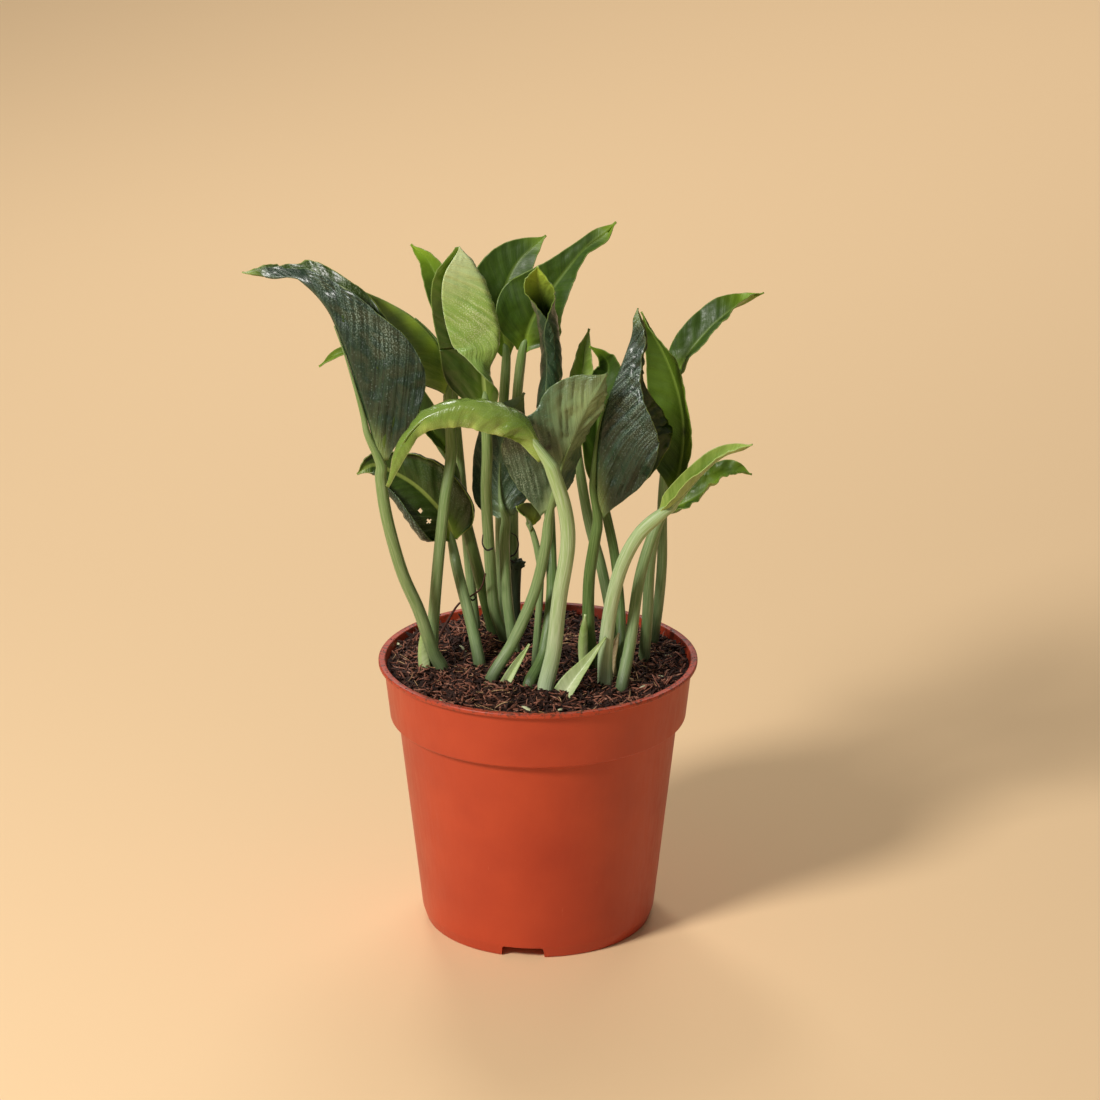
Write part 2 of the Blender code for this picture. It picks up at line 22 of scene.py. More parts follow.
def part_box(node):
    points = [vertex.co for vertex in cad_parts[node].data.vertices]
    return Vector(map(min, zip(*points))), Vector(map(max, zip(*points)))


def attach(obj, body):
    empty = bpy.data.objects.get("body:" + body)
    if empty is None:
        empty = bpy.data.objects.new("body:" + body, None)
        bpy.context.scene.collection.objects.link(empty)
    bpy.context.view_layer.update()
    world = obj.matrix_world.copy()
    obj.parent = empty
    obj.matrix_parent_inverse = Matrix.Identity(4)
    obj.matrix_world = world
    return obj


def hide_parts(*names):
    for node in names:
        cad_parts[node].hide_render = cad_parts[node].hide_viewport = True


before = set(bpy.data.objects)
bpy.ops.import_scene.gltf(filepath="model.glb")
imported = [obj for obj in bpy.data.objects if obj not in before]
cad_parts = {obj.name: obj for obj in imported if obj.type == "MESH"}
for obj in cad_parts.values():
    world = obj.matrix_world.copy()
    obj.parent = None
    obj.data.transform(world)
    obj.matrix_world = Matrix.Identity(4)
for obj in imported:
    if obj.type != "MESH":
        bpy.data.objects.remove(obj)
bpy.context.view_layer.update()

MM = 0.001
SHEET_MAP = "Sheet"  # the UV map that holds a sheet's or a tube's own flat coordinates, in metres
BLADE_LAYERS = ("young_and_lit", "silver_and_glint", "rib", "edge", "decay")  # what a blade's mesh tells its skin at each point
log = logging.getLogger("potted_pothos")


# ---------------------------------------------------------------- small tools


def linear(colour: str) -> tuple[float, float, float, float]:
    """Turn an sRGB hex colour into linear light.

    Args:
        colour: The colour as "#rrggbb".

    Returns:
        Red, green, blue and an alpha of one.
    """
    channels = [int(colour[start:start + 2], 16) / 255 for start in (1, 3, 5)]
    red, green, blue = (c / 12.92 if c <= 0.04045 else ((c + 0.055) / 1.055) ** 2.4 for c in channels)
    return red, green, blue, 1.0


def add_node(tree: bpy.types.NodeTree, kind: str, inputs: dict | None = None, **settings) -> bpy.types.Node:
    """Add a shader node, set its properties and feed its inputs.

    Args:
        tree: The material's node tree.
        kind: The node's type name.
        inputs: For each input socket, by name or number, a value or the output socket to link from.
        **settings: Properties of the node itself.

    Returns:
        The new node.
    """
    node = tree.nodes.new(kind)
    for name, value in settings.items():
        setattr(node, name, value)
    for socket, value in (inputs or {}).items():
        if isinstance(value, bpy.types.NodeSocket):
            tree.links.new(value, node.inputs[socket])
        else:
            node.inputs[socket].default_value = value
    return node


def new_material(name: str) -> tuple[bpy.types.Material, bpy.types.NodeTree, bpy.types.Node]:
    """Make a node material, and return it with its tree and its Principled shader."""
    material = bpy.data.materials.new(name)
    material.use_nodes = True
    return material, material.node_tree, material.node_tree.nodes["Principled BSDF"]


def paint(tree: bpy.types.NodeTree, shader: bpy.types.Node, ground: str,
          coats: Iterable[tuple[bpy.types.NodeSocket, str]]) -> None:
    """Lay tints over a ground colour and feed the result to the shader.

    Args:
        tree: The material's node tree.
        shader: Its Principled shader.
        ground: The colour underneath, as "#rrggbb".
        coats: For each tint, from the lowest to the top, the mask that lets it show and its colour.
    """
    colour = linear(ground)
    for mask, tint in coats:
        coat = add_node(tree, "ShaderNodeMix", {0: mask, 6: colour, 7: linear(tint)}, data_type="RGBA")
        colour = coat.outputs[2]
    tree.links.new(colour, shader.inputs["Base Color"])


def catmull_rom(a: float | Vector, b: float | Vector, c: float | Vector, d: float | Vector,
                t: float) -> float | Vector:
    """Blend from b to c at t from 0 to 1, on the smooth curve that also passes a and d."""
    return 0.5 * (2 * b + (c - a) * t + (2 * a - 5 * b + 4 * c - d) * t * t + (3 * b - a - 3 * c + d) * t**3)


def between(keys: Sequence[float], t: float) -> float:
    """Read a value along evenly spaced keys on a smooth curve.

    Args:
        keys: The values at equal steps.
        t: How far along, from 0 to 1.

    Returns:
        The value at t.
    """
    along = min(max(t, 0.0), 1.0) * (len(keys) - 1)
    span = min(int(along), len(keys) - 2)
    before, after = keys[max(span - 1, 0)], keys[min(span + 2, len(keys) - 1)]
    return catmull_rom(before, keys[span], keys[span + 1], after, along - span)


def smooth_step(start: float, end: float, value: float) -> float:
    """Rise smoothly from 0 at start to 1 at end."""
    t = min(max((value - start) / (end - start), 0.0), 1.0)
    return t * t * (3 - 2 * t)


def smooth_curve(points: Sequence[Vector], steps: int) -> list[Vector]:
    """Follow a Catmull-Rom curve through some points.

    Args:
        points: The points to pass through.
        steps: How many equal steps of the curve's own count to take.

    Returns:
        The points along the curve, one more than the steps.
    """
    ends = [2 * points[0] - points[1], *points, 2 * points[-1] - points[-2]]
    spans = len(points) - 1
    curve = []
    for step in range(steps + 1):
        along = step / steps * spans
        span = min(int(along), spans - 1)
        curve.append(catmull_rom(*ends[span:span + 4], along - span))
    return curve


def make_mesh(name: str, bm: bmesh.types.BMesh) -> bpy.types.Mesh:
    """Turn a bmesh into a mesh, and free it."""
    mesh = bpy.data.meshes.new(name)
    bm.to_mesh(mesh)
    bm.free()
    return mesh


def pour(source: bmesh.types.BMesh, bm: bmesh.types.BMesh) -> None:
    """Add one shape to another, and free the first."""
    mesh = make_mesh("poured", source)
    bm.from_mesh(mesh)
    bpy.data.meshes.remove(mesh)


def make_object(name: str, bm: bmesh.types.BMesh,
                materials: Iterable[bpy.types.Material]) -> bpy.types.Object:
    """Turn a bmesh into a piece of the scene, shaded smooth.

    Args:
        name: The piece's name.
        bm: The shape, which is freed.
        materials: The piece's materials in slot order.

    Returns:
        The new object, at the origin.
    """
    mesh = make_mesh(name, bm)
    mesh.shade_smooth()
    for material in materials:
        mesh.materials.append(material)
    obj = bpy.data.objects.new(name, mesh)
    bpy.context.scene.collection.objects.link(obj)
    return obj


def settle(obj: bpy.types.Object, slot: str, *nodes: str) -> bpy.types.Object:
    """Fix a piece to the plant and hide the CAD nodes it stands for."""
    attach(obj, "root")
    if nodes:
        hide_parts(*nodes)
    return obj


def apply_modifiers(obj: bpy.types.Object) -> None:
    """Keep a piece's evaluated mesh and drop its modifiers."""
    graph = bpy.context.evaluated_depsgraph_get()
    mesh = bpy.data.meshes.new_from_object(obj.evaluated_get(graph))
    obj.modifiers.clear()
    obj.data = mesh


# ---------------------------------------------------------------- finishes


@dataclass(frozen=True)
class LeafSkin:
    """Waxy leaf skin over green tissue, grown and not coated.

    Light glances off the wax in soft bright ridges, streaks of lighter tissue follow the side veins, and air
    under the lower skin turns it silvery. The silver colour also shows as painted glints and pale specks, and
    the young colour also as painted light on strips of the blade that catch it.
    """

    name: str
    tissue: str
    shade: str  # between the veins
    young_and_lit: str  # at the tip and wherever the blade is young, and painted light on strips lit from above
    vein: str  # the midrib and the thin margin
    silver_and_glint: str  # where air has got under the skin, laid on as painted glints and pale specks
    roughness: float = 0.34
    speckle: float = 0.0  # how strongly the pores show as pale specks, partly painted glints
    streak: float = 1.0  # how strongly the vein streaks show
    relief: float = 0.5  # strength of the fine relief
    coat: float = 0.15
    sweep: float = 0.9  # how far a side vein runs on towards the tip for each mm outwards

    VEIN_GAP = 2.6  # mm between side veins
    PORE = 1.1  # mm, drawn coarser than real pores so that they show
    GRAIN = 0.5  # mm, the uneven wax, drawn coarser than the real one so that it shows
    RIB_HALF = (0.45, 0.95)  # mm from the midrib's middle where its pale line starts and ends to fade
    MARGIN = (0.1, 0.4)  # mm from the edge, the same for the margin's line
    DECAYED = "#17100a"
    SQUEEZE = 0.14  # the streaks' width as a share of their length, drawn out along the veins
    BLOTCH = 9.0  # mm, patches where more pores show
    FINE_RELIEF = 0.16  # the grain's share of the relief
    RELIEF_DEPTH = 1.0  # mm
    WAX_IOR = 1.45

    def material(self) -> bpy.types.Material:
        """Build the skin's material from its colours and its real pattern sizes."""
        material, tree, shader = new_material(self.name)
        sheet = add_node(tree, "ShaderNodeUVMap", uv_map=SHEET_MAP)
        flat = add_node(tree, "ShaderNodeSeparateXYZ", {0: sheet.outputs[0]})
        out = add_node(tree, "ShaderNodeMath", {0: flat.outputs["Y"]}, operation="ABSOLUTE")
        sweep = add_node(tree, "ShaderNodeMath", {0: out.outputs[0], 1: -self.sweep, 2: flat.outputs["X"]},
                         operation="MULTIPLY_ADD")
        squeezed = add_node(tree, "ShaderNodeMath", {0: flat.outputs["Y"], 1: self.SQUEEZE},
                            operation="MULTIPLY")
        vein_way = add_node(tree, "ShaderNodeCombineXYZ", {0: sweep.outputs[0], 1: squeezed.outputs[0]})
        streaks = add_node(tree, "ShaderNodeTexNoise",
                           {"Vector": vein_way.outputs[0], "Scale": 1 / (self.VEIN_GAP * MM), "Detail": 4.0,
                            "Roughness": 0.62})
        streak_mask = add_node(tree, "ShaderNodeMapRange",
                               {0: streaks.outputs[0], 1: 0.36, 2: 0.68, 3: 0.0, 4: self.streak},
                               interpolation_type="SMOOTHSTEP")
        pores = add_node(tree, "ShaderNodeTexVoronoi",
                         {"Vector": sheet.outputs[0], "Scale": 1 / (self.PORE * MM), "Randomness": 1.0})
        pore_and_glint_mask = add_node(tree, "ShaderNodeMapRange",
                             {0: pores.outputs["Distance"], 1: 0.08, 2: 0.34, 3: 1.0, 4: 0.0})
        grain = add_node(tree, "ShaderNodeTexNoise",
                         {"Vector": sheet.outputs[0], "Scale": 1 / (self.GRAIN * MM), "Detail": 2.0})
        blotch = add_node(tree, "ShaderNodeTexNoise",
                          {"Vector": vein_way.outputs[0], "Scale": 1 / (self.BLOTCH * MM), "Detail": 3.0,
                           "Roughness": 0.6})
        blotch_mask = add_node(tree, "ShaderNodeMapRange", {0: blotch.outputs[0], 1: 0.35, 2: 0.7})
        young_and_lit, silver_and_glint, felt, edge, decay = (
            add_node(tree, "ShaderNodeAttribute", attribute_name=name).outputs["Fac"]
            for name in BLADE_LAYERS)
        speckled = add_node(tree, "ShaderNodeMath", {0: pore_and_glint_mask.outputs[0], 1: blotch_mask.outputs[0]},
                            operation="MULTIPLY")
        specks = add_node(tree, "ShaderNodeMath", {0: speckled.outputs[0], 1: self.speckle},
                          operation="MULTIPLY")
        # painted glints: the silver colour shows where grain and streaks peak, and in the pale pore specks
        glints = add_node(tree, "ShaderNodeMath", {0: grain.outputs[0], 1: streaks.outputs[0]},
                          operation="ADD")
        glint_mask = add_node(tree, "ShaderNodeMapRange", {0: glints.outputs[0], 1: 1.0, 2: 1.25})
        silver_and_glint_mask = add_node(tree, "ShaderNodeMath",
                               {0: silver_and_glint, 1: glint_mask.outputs[0], 2: specks.outputs[0]},
                               operation="MULTIPLY_ADD", use_clamp=True)
        rib = add_node(tree, "ShaderNodeMapRange",
                       {0: out.outputs[0], 1: self.RIB_HALF[0] * MM, 2: self.RIB_HALF[1] * MM, 3: 1.0,
                        4: 0.0})
        rib_line = add_node(tree, "ShaderNodeMath", {0: rib.outputs[0], 1: felt}, operation="MULTIPLY")
        margin = add_node(tree, "ShaderNodeMapRange",
                          {0: edge, 1: self.MARGIN[0] * MM, 2: self.MARGIN[1] * MM, 3: 0.6, 4: 0.0})
        lines = add_node(tree, "ShaderNodeMath", {0: rib_line.outputs[0], 1: margin.outputs[0]},
                         operation="MAXIMUM")
        # the silver coat is silvering with painted glints, and the young coat also paints lit strips
        paint(tree, shader, self.shade,
              ((streak_mask.outputs[0], self.tissue), (young_and_lit, self.young_and_lit),
               (silver_and_glint_mask.outputs[0], self.silver_and_glint), (lines.outputs[0], self.vein), (decay, self.DECAYED)))

        rough = add_node(tree, "ShaderNodeMapRange",
                         {0: grain.outputs[0], 1: 0.3, 2: 0.7, 3: self.roughness - 0.08,
                          4: self.roughness + 0.1})
        tree.links.new(rough.outputs[0], shader.inputs["Roughness"])
        relief = add_node(tree, "ShaderNodeMath",
                          {0: grain.outputs[0], 1: self.FINE_RELIEF, 2: streaks.outputs[0]},
                          operation="MULTIPLY_ADD")
        bump = add_node(tree, "ShaderNodeBump",
                        {"Height": relief.outputs[0], "Strength": self.relief,
                         "Distance": self.RELIEF_DEPTH * MM})
        tree.links.new(bump.outputs[0], shader.inputs["Normal"])
        shader.inputs["IOR"].default_value = self.WAX_IOR
        shader.inputs["Coat Weight"].default_value = self.coat
        shader.inputs["Coat Roughness"].default_value = 0.2
        return material


@dataclass(frozen=True)
class StalkSkin:
    """Smooth petiole skin: fine lengthwise fibres, darker and browner where it leaves the soil."""

    name: str
    foot: str
    body: str
    top: str
    fibre: str
    roughness: float = 0.42
    foot_height: float = 16.0  # mm over which the soiled foot fades
    top_height: float = 95.0  # mm above the soil where the colour is the top's

    FIBRE_WIDTH = 0.55  # mm
    SOIL = 101.5  # mm, the soil's height
    FIBRE_STRETCH = 0.05  # a fibre's width as a share of its length
    MOTTLE = 7.0  # mm, uneven patches of the skin
    SPLASH = 3.0  # mm above the soil where the soiled foot starts to fade
    RAGGED = 12.0  # mm by which the soiled foot's edge wanders
    HAIR = "#dfe8c0"

    def material(self) -> bpy.types.Material:
        """Build the skin's material: colour by height, with lengthwise streaks."""
        material, tree, shader = new_material(self.name)
        place = add_node(tree, "ShaderNodeTexCoord")
        height = add_node(tree, "ShaderNodeSeparateXYZ", {0: place.outputs["Object"]})
        sheet = add_node(tree, "ShaderNodeUVMap", uv_map=SHEET_MAP)
        stretched = add_node(tree, "ShaderNodeMapping",
                             {0: sheet.outputs[0], 3: (self.FIBRE_STRETCH, 1.0, 1.0)})
        fibres = add_node(tree, "ShaderNodeTexNoise",
                          {"Vector": stretched.outputs[0], "Scale": 1 / (self.FIBRE_WIDTH * MM),
                           "Detail": 3.0, "Roughness": 0.55})
        mottle = add_node(tree, "ShaderNodeTexNoise",
                          {"Vector": place.outputs["Object"], "Scale": 1 / (self.MOTTLE * MM), "Detail": 3.0})
        rise = add_node(tree, "ShaderNodeMapRange",
                        {0: height.outputs["Z"], 1: self.SOIL * MM, 2: (self.SOIL + self.top_height) * MM})
        streaks = add_node(tree, "ShaderNodeMapRange",
                           {0: fibres.outputs[0], 1: 0.38, 2: 0.66, 3: 0.0, 4: 0.55})
        ragged = add_node(tree, "ShaderNodeMath",
                          {0: mottle.outputs[0], 1: self.RAGGED * MM, 2: height.outputs["Z"]},
                          operation="MULTIPLY_ADD")
        splash = self.SOIL + self.SPLASH
        foot = add_node(tree, "ShaderNodeMapRange",
                        {0: ragged.outputs[0], 1: splash * MM, 2: (splash + self.foot_height) * MM, 3: 0.95,
                         4: 0.0})
        paint(tree, shader, self.body,
              ((rise.outputs[0], self.top), (streaks.outputs[0], self.fibre), (foot.outputs[0], self.foot)))
        rough = add_node(tree, "ShaderNodeMapRange",
                         {0: mottle.outputs[0], 1: 0.3, 2: 0.7, 3: self.roughness - 0.07,
                          4: self.roughness + 0.09})
        tree.links.new(rough.outputs[0], shader.inputs["Roughness"])
        bump = add_node(tree, "ShaderNodeBump",
                        {"Height": fibres.outputs[0], "Strength": 0.5, "Distance": 0.4 * MM})
        tree.links.new(bump.outputs[0], shader.inputs["Normal"])
        shader.inputs["IOR"].default_value = LeafSkin.WAX_IOR
        shader.inputs["Sheen Weight"].default_value = 0.12
        shader.inputs["Sheen Roughness"].default_value = 0.4
        shader.inputs["Sheen Tint"].default_value = linear(self.HAIR)
        return material


@dataclass(frozen=True)
class MouldedPolypropylene:
    """Injection moulded polypropylene in terracotta: satin, slightly cloudy, with soil dust at the top."""

    name: str = "moulded_polypropylene"
    colour: str = "#bd4526"
    cloudy: str = "#af3b21"
    scuff: str = "#d9795a"
    dust: str = "#4a2a1c"
    roughness: float = 0.42

    CLOUD = 28.0  # mm, where the pigment is thicker or thinner
    SCUFF = 1.6  # mm, the width of a scuff, which runs up the wall
    SCUFF_STRETCH = 0.12
    DUSTY = 3.0  # mm under the rim that dust clings to
    SPECK = 1.5  # mm
    GRAIN = 0.5  # mm, the mould's fine grain

    def material(self, rim_height: float) -> bpy.types.Material:
        """Build the plastic.

        Args:
            rim_height: The height of the pot's lip, in metres.

        Returns:
            The material.
        """
        material, tree, shader = new_material(self.name)
        place = add_node(tree, "ShaderNodeTexCoord")
        clouds = add_node(tree, "ShaderNodeTexNoise",
                          {"Vector": place.outputs["Object"], "Scale": 1 / (self.CLOUD * MM), "Detail": 4.0})
        cloudy = add_node(tree, "ShaderNodeMapRange", {0: clouds.outputs[0], 1: 0.35, 2: 0.7})
        upright = add_node(tree, "ShaderNodeMapping",
                           {0: place.outputs["Object"], 3: (1.0, 1.0, self.SCUFF_STRETCH)})
        scuffs = add_node(tree, "ShaderNodeTexNoise",
                          {"Vector": upright.outputs[0], "Scale": 1 / (self.SCUFF * MM), "Detail": 5.0,
                           "Roughness": 0.7})
        scuffed = add_node(tree, "ShaderNodeMapRange",
                           {0: scuffs.outputs[0], 1: 0.66, 2: 0.8, 3: 0.0, 4: 0.35})
        height = add_node(tree, "ShaderNodeSeparateXYZ", {0: place.outputs["Object"]})
        near_rim = add_node(tree, "ShaderNodeMapRange",
                            {0: height.outputs["Z"], 1: rim_height - self.DUSTY * MM, 2: rim_height})
        specks = add_node(tree, "ShaderNodeTexNoise",
                          {"Vector": place.outputs["Object"], "Scale": 1 / (self.SPECK * MM), "Detail": 3.0,
                           "Roughness": 0.7})
        specked = add_node(tree, "ShaderNodeMapRange",
                           {0: specks.outputs[0], 1: 0.5, 2: 0.62, 3: 0.05, 4: 0.9})
        dust = add_node(tree, "ShaderNodeMath", {0: specked.outputs[0], 1: near_rim.outputs[0]},
                        operation="MULTIPLY")
        paint(tree, shader, self.colour,
              ((cloudy.outputs[0], self.cloudy), (scuffed.outputs[0], self.scuff),
               (dust.outputs[0], self.dust)))
        grain = add_node(tree, "ShaderNodeTexNoise",
                         {"Vector": place.outputs["Object"], "Scale": 1 / (self.GRAIN * MM), "Detail": 2.0})
        rough = add_node(tree, "ShaderNodeMapRange",
                         {0: scuffs.outputs[0], 1: 0.3, 2: 0.75, 3: self.roughness - 0.05,
                          4: self.roughness + 0.12})
        tree.links.new(rough.outputs[0], shader.inputs["Roughness"])
        bump = add_node(tree, "ShaderNodeBump",
                        {"Height": grain.outputs[0], "Strength": 0.12, "Distance": 0.1 * MM})
        tree.links.new(bump.outputs[0], shader.inputs["Normal"])
        shader.inputs["IOR"].default_value = 1.49
        return material


@dataclass(frozen=True)
class CoirFinish:
    """Damp coconut coir: matt, dark brown crumbs with reddish and tan fibre."""

    name: str
    dark: str
    light: str
    fleck: str
    grain: float = 1.4  # mm
    roughness: float = 0.9

    LUMP = 2.4  # a lump's size in grains

    def material(self) -> bpy.types.Material:
        """Build the coir from two noises, one for its lumps and one for its flecks."""
        material, tree, shader = new_material(self.name)
        place = add_node(tree, "ShaderNodeTexCoord")
        lumps = add_node(tree, "ShaderNodeTexNoise",
                         {"Vector": place.outputs["Object"], "Scale": 1 / (self.grain * self.LUMP * MM),
                          "Detail": 4.0, "Roughness": 0.65})
        lumpy = add_node(tree, "ShaderNodeMapRange", {0: lumps.outputs[0], 1: 0.35, 2: 0.65})
        flecks = add_node(tree, "ShaderNodeTexNoise",
                          {"Vector": place.outputs["Object"], "Scale": 1 / (self.grain * MM), "Detail": 3.0,
                           "Roughness": 0.7})
        flecked = add_node(tree, "ShaderNodeMapRange",
                           {0: flecks.outputs[0], 1: 0.56, 2: 0.7, 3: 0.0, 4: 0.8})
        paint(tree, shader, self.dark, ((lumpy.outputs[0], self.light), (flecked.outputs[0], self.fleck)))
        bump = add_node(tree, "ShaderNodeBump",
                        {"Height": flecks.outputs[0], "Strength": 0.8, "Distance": 0.5 * MM})
        tree.links.new(bump.outputs[0], shader.inputs["Normal"])
        shader.inputs["Roughness"].default_value = self.roughness
        shader.inputs["IOR"].default_value = 1.4
        return material


class LeafLook(Enum):
    """The kinds of blade on this plant, each with its upper and its lower skin."""

    GLOSSY = (
        LeafSkin("leaf_glossy_upper", "#42600f", "#30490a", "#8aac26", "#7d9638", "#a8b48a", 0.5, streak=0.6,
                 relief=0.3, coat=0.05),
        LeafSkin("leaf_glossy_lower", "#7a9442", "#5f7a30", "#98b43a", "#a9bd74", "#d5e0b4", 0.36, streak=0.7,
                 speckle=0.1, relief=0.35),
    )
    ROLLED = (
        LeafSkin("leaf_rolled_upper", "#3b540f", "#31470c", "#5f7d1c", "#8da353", "#a8b48a", 0.4, streak=0.5,
                 relief=0.2),
        LeafSkin("leaf_rolled_lower", "#9cbc62", "#82a44a", "#cddda4", "#c9d8a2", "#e3edc6", 0.22,
                 speckle=0.1, streak=0.6, relief=0.9, coat=0.6, sweep=1.2),
    )
    WET = (
        LeafSkin("leaf_wet_upper", "#567a1e", "#446512", "#a6bd5c", "#b4c97c", "#c4d0a4", 0.24, streak=0.8,
                 relief=0.5, coat=0.6),
        LeafSkin("leaf_wet_lower", "#8da653", "#76923d", "#b9cc80", "#b9c987", "#d5e0b4", 0.3, streak=0.7,
                 relief=0.4, coat=0.4),
    )
    DARK = (
        # the young colour is extra bright, partly painted light inside leaf_08's shaded cup
        LeafSkin("leaf_dark_upper", "#31460f", "#23340b", "#b4cc4a", "#6f8438", "#8d9a7c", 0.42, streak=0.7,
                 relief=0.35, coat=0.08),
        LeafSkin("leaf_dark_lower", "#436043", "#2b432c", "#8ba06a", "#7a9060", "#93a58e", 0.34, speckle=0.35,
                 streak=0.8, relief=0.6, coat=0.25, sweep=1.7),
    )
    WITHERED = (
        LeafSkin("leaf_withered_upper", "#3c5413", "#2a3d0c", "#7d9a2c", "#93a24a", "#8d9a7c", 0.38,
                 streak=0.7, relief=0.35),
        LeafSkin("leaf_withered_lower", "#324c32", "#1b2e1e", "#a0b768", "#6c8458", "#9db3a4", 0.34,
                 speckle=0.3, streak=0.5, relief=0.9, coat=0.3, sweep=2.2),
    )
    YOUNG = (
        LeafSkin("leaf_young_upper", "#8da64a", "#6d892f", "#b4cb68", "#a9bf66", "#c9d4a4", 0.34, streak=0.6,
                 relief=0.35),
        LeafSkin("leaf_young_lower", "#a0b665", "#829d47", "#bdd17c", "#b9c987", "#d3deb0", 0.36, streak=0.6,
                 relief=0.35),
    )
    SHEATH = (
        LeafSkin("sheath_pale_inner", "#b4c48e", "#9db174", "#dbe4b8", "#8fae4c", "#dfe6c2", 0.42,
                 relief=0.3),
        LeafSkin("sheath_pale_outer", "#a8ba7c", "#8ca45e", "#d0dba8", "#86a544", "#d3deb0", 0.42,
                 relief=0.3),
    )
    DRY_SHEATH = (
        LeafSkin("sheath_dry_inner", "#c9b28c", "#a88c62", "#d8cba0", "#8f8a4c", "#dcd2b0", 0.6, relief=0.4),
        LeafSkin("sheath_dry_outer", "#b5a478", "#8c7c4e", "#cbbd90", "#8f8a4c", "#d0c5a0", 0.6, relief=0.4),
    )


class StalkLook(Enum):
    """The kinds of stalk on this plant."""

    GREEN = StalkSkin("petiole_green_skin", "#344328", "#6f8856", "#688540", "#a3b384")
    DEEP = StalkSkin("petiole_deep_skin", "#28361e", "#506c36", "#4a6626", "#849a5c")
    PALE = StalkSkin("petiole_pale_skin", "#8fa574", "#a0b688", "#8caa5e", "#ccd8b6", foot_height=5.0)
    STUB = StalkSkin("cut_stub_skin", "#242e1a", "#333f29", "#2b3824", "#566446", 0.6)
    ROOT = StalkSkin("dead_root_bark", "#2a1712", "#3a1d16", "#4a2119", "#5a3226", 0.75)
    TENDRIL = StalkSkin("dead_tendril_bark", "#1c1510", "#1f1812", "#1f1812", "#3a2c20", 0.6)


class Wardrobe:
    """Makes each finish once and hands it out."""

    def __init__(self) -> None:
        """Start with nothing made."""
        self.made: dict[str, bpy.types.Material] = {}

    def get(self, finish: LeafSkin | StalkSkin | CoirFinish) -> bpy.types.Material:
        """Return the finish's material, made on the first call."""
        if finish.name not in self.made:
            self.made[finish.name] = finish.material()
        return self.made[finish.name]


# ---------------------------------------------------------------- leaves


@dataclass(frozen=True)
class Half:
    """One half of a leaf: its greatest width, and its fold and curl from base to tip."""

    width: float
    fold: tuple[float, ...] = (30.0, 30.0)
    curl: tuple[float, ...] = (10.0, 10.0)
    bend: tuple[float, float] = (0.0, 1.0)  # the part of the width that the curl takes up
    outline: str = ""  # this half's own outline, where it differs from the blade's


@dataclass(frozen=True)
class Patch:
    """A soft round patch on a blade: where it is along and across, its radius in mm, and its strength."""

    u: float
    v: float
    radius: float
    strength: float = 1.0


@dataclass(frozen=True)
class Ruffle:
    """The uneven growth of a blade, all in mm."""

    pleat: float = 0.22  # depth of the pleats between side veins
    pleat_gap: float = 4.2
    wave: float = 0.7  # how far the margin waves
    wave_length: float = 18.0
    crumple: float = 0.35
    sweep: float = 0.9  # how far a pleat runs on towards the tip for each mm outwards
    crumple_size: float = 8.0


FLAT = Ruffle()
SOFT = Ruffle(pleat=0.05, wave=0.15, crumple=0.15)
SHRIVELLED = Ruffle(pleat=0.55, pleat_gap=3.4, wave=1.0, wave_length=10.0, crumple=1.0, crumple_size=5.0,
                    sweep=2.2)
CRINKLED = Ruffle(pleat=0.25, pleat_gap=4.0, wave=1.2, wave_length=10.0, crumple=0.6, crumple_size=7.0)

OUTLINES = {
    "heart": (0.12, 0.78, 0.98, 1.0, 0.9, 0.72, 0.5, 0.26, 0.0),
    "lance": (0.15, 0.55, 0.85, 1.0, 0.98, 0.85, 0.62, 0.33, 0.0),
    "spear": (0.15, 0.7, 1.0, 0.95, 0.72, 0.45, 0.28, 0.2, 0.0),
    "strap": (0.3, 0.8, 0.95, 1.0, 1.0, 0.92, 0.75, 0.45, 0.0),
    "blunt": (0.3, 0.72, 0.92, 1.0, 1.0, 0.95, 0.84, 0.6, 0.15),
    "folded_back": (0.1, 0.5, 0.7, 0.74, 0.62, 0.42, 0.3, 0.2, 0.0),
    "tailed": (0.12, 0.72, 1.0, 0.94, 0.62, 0.32, 0.17, 0.15, 0.0),
    "shouldered": (0.1, 0.62, 0.92, 1.0, 0.92, 0.72, 0.68, 0.42, 0.0),
    "rolled": (0.15, 0.3, 0.45, 0.9, 1.02, 1.0, 0.88, 0.6, 0.0),
    "arched": (0.35, 0.8, 1.0, 1.05, 0.95, 0.72, 0.48, 0.28, 0.1),
    "saddle": (0.35, 0.8, 0.95, 1.0, 1.0, 0.95, 0.85, 0.6, 0.1),
    "funnel": (0.9, 1.0, 1.0, 1.0, 0.95, 0.8, 0.66, 0.5, 0.0),
    "tongue": (1.0, 1.0, 0.95, 0.86, 0.74, 0.6, 0.42, 0.22, 0.0),
    "almond": (0.1, 0.72, 0.98, 1.0, 0.82, 0.46, 0.3, 0.24, 0.0),
}


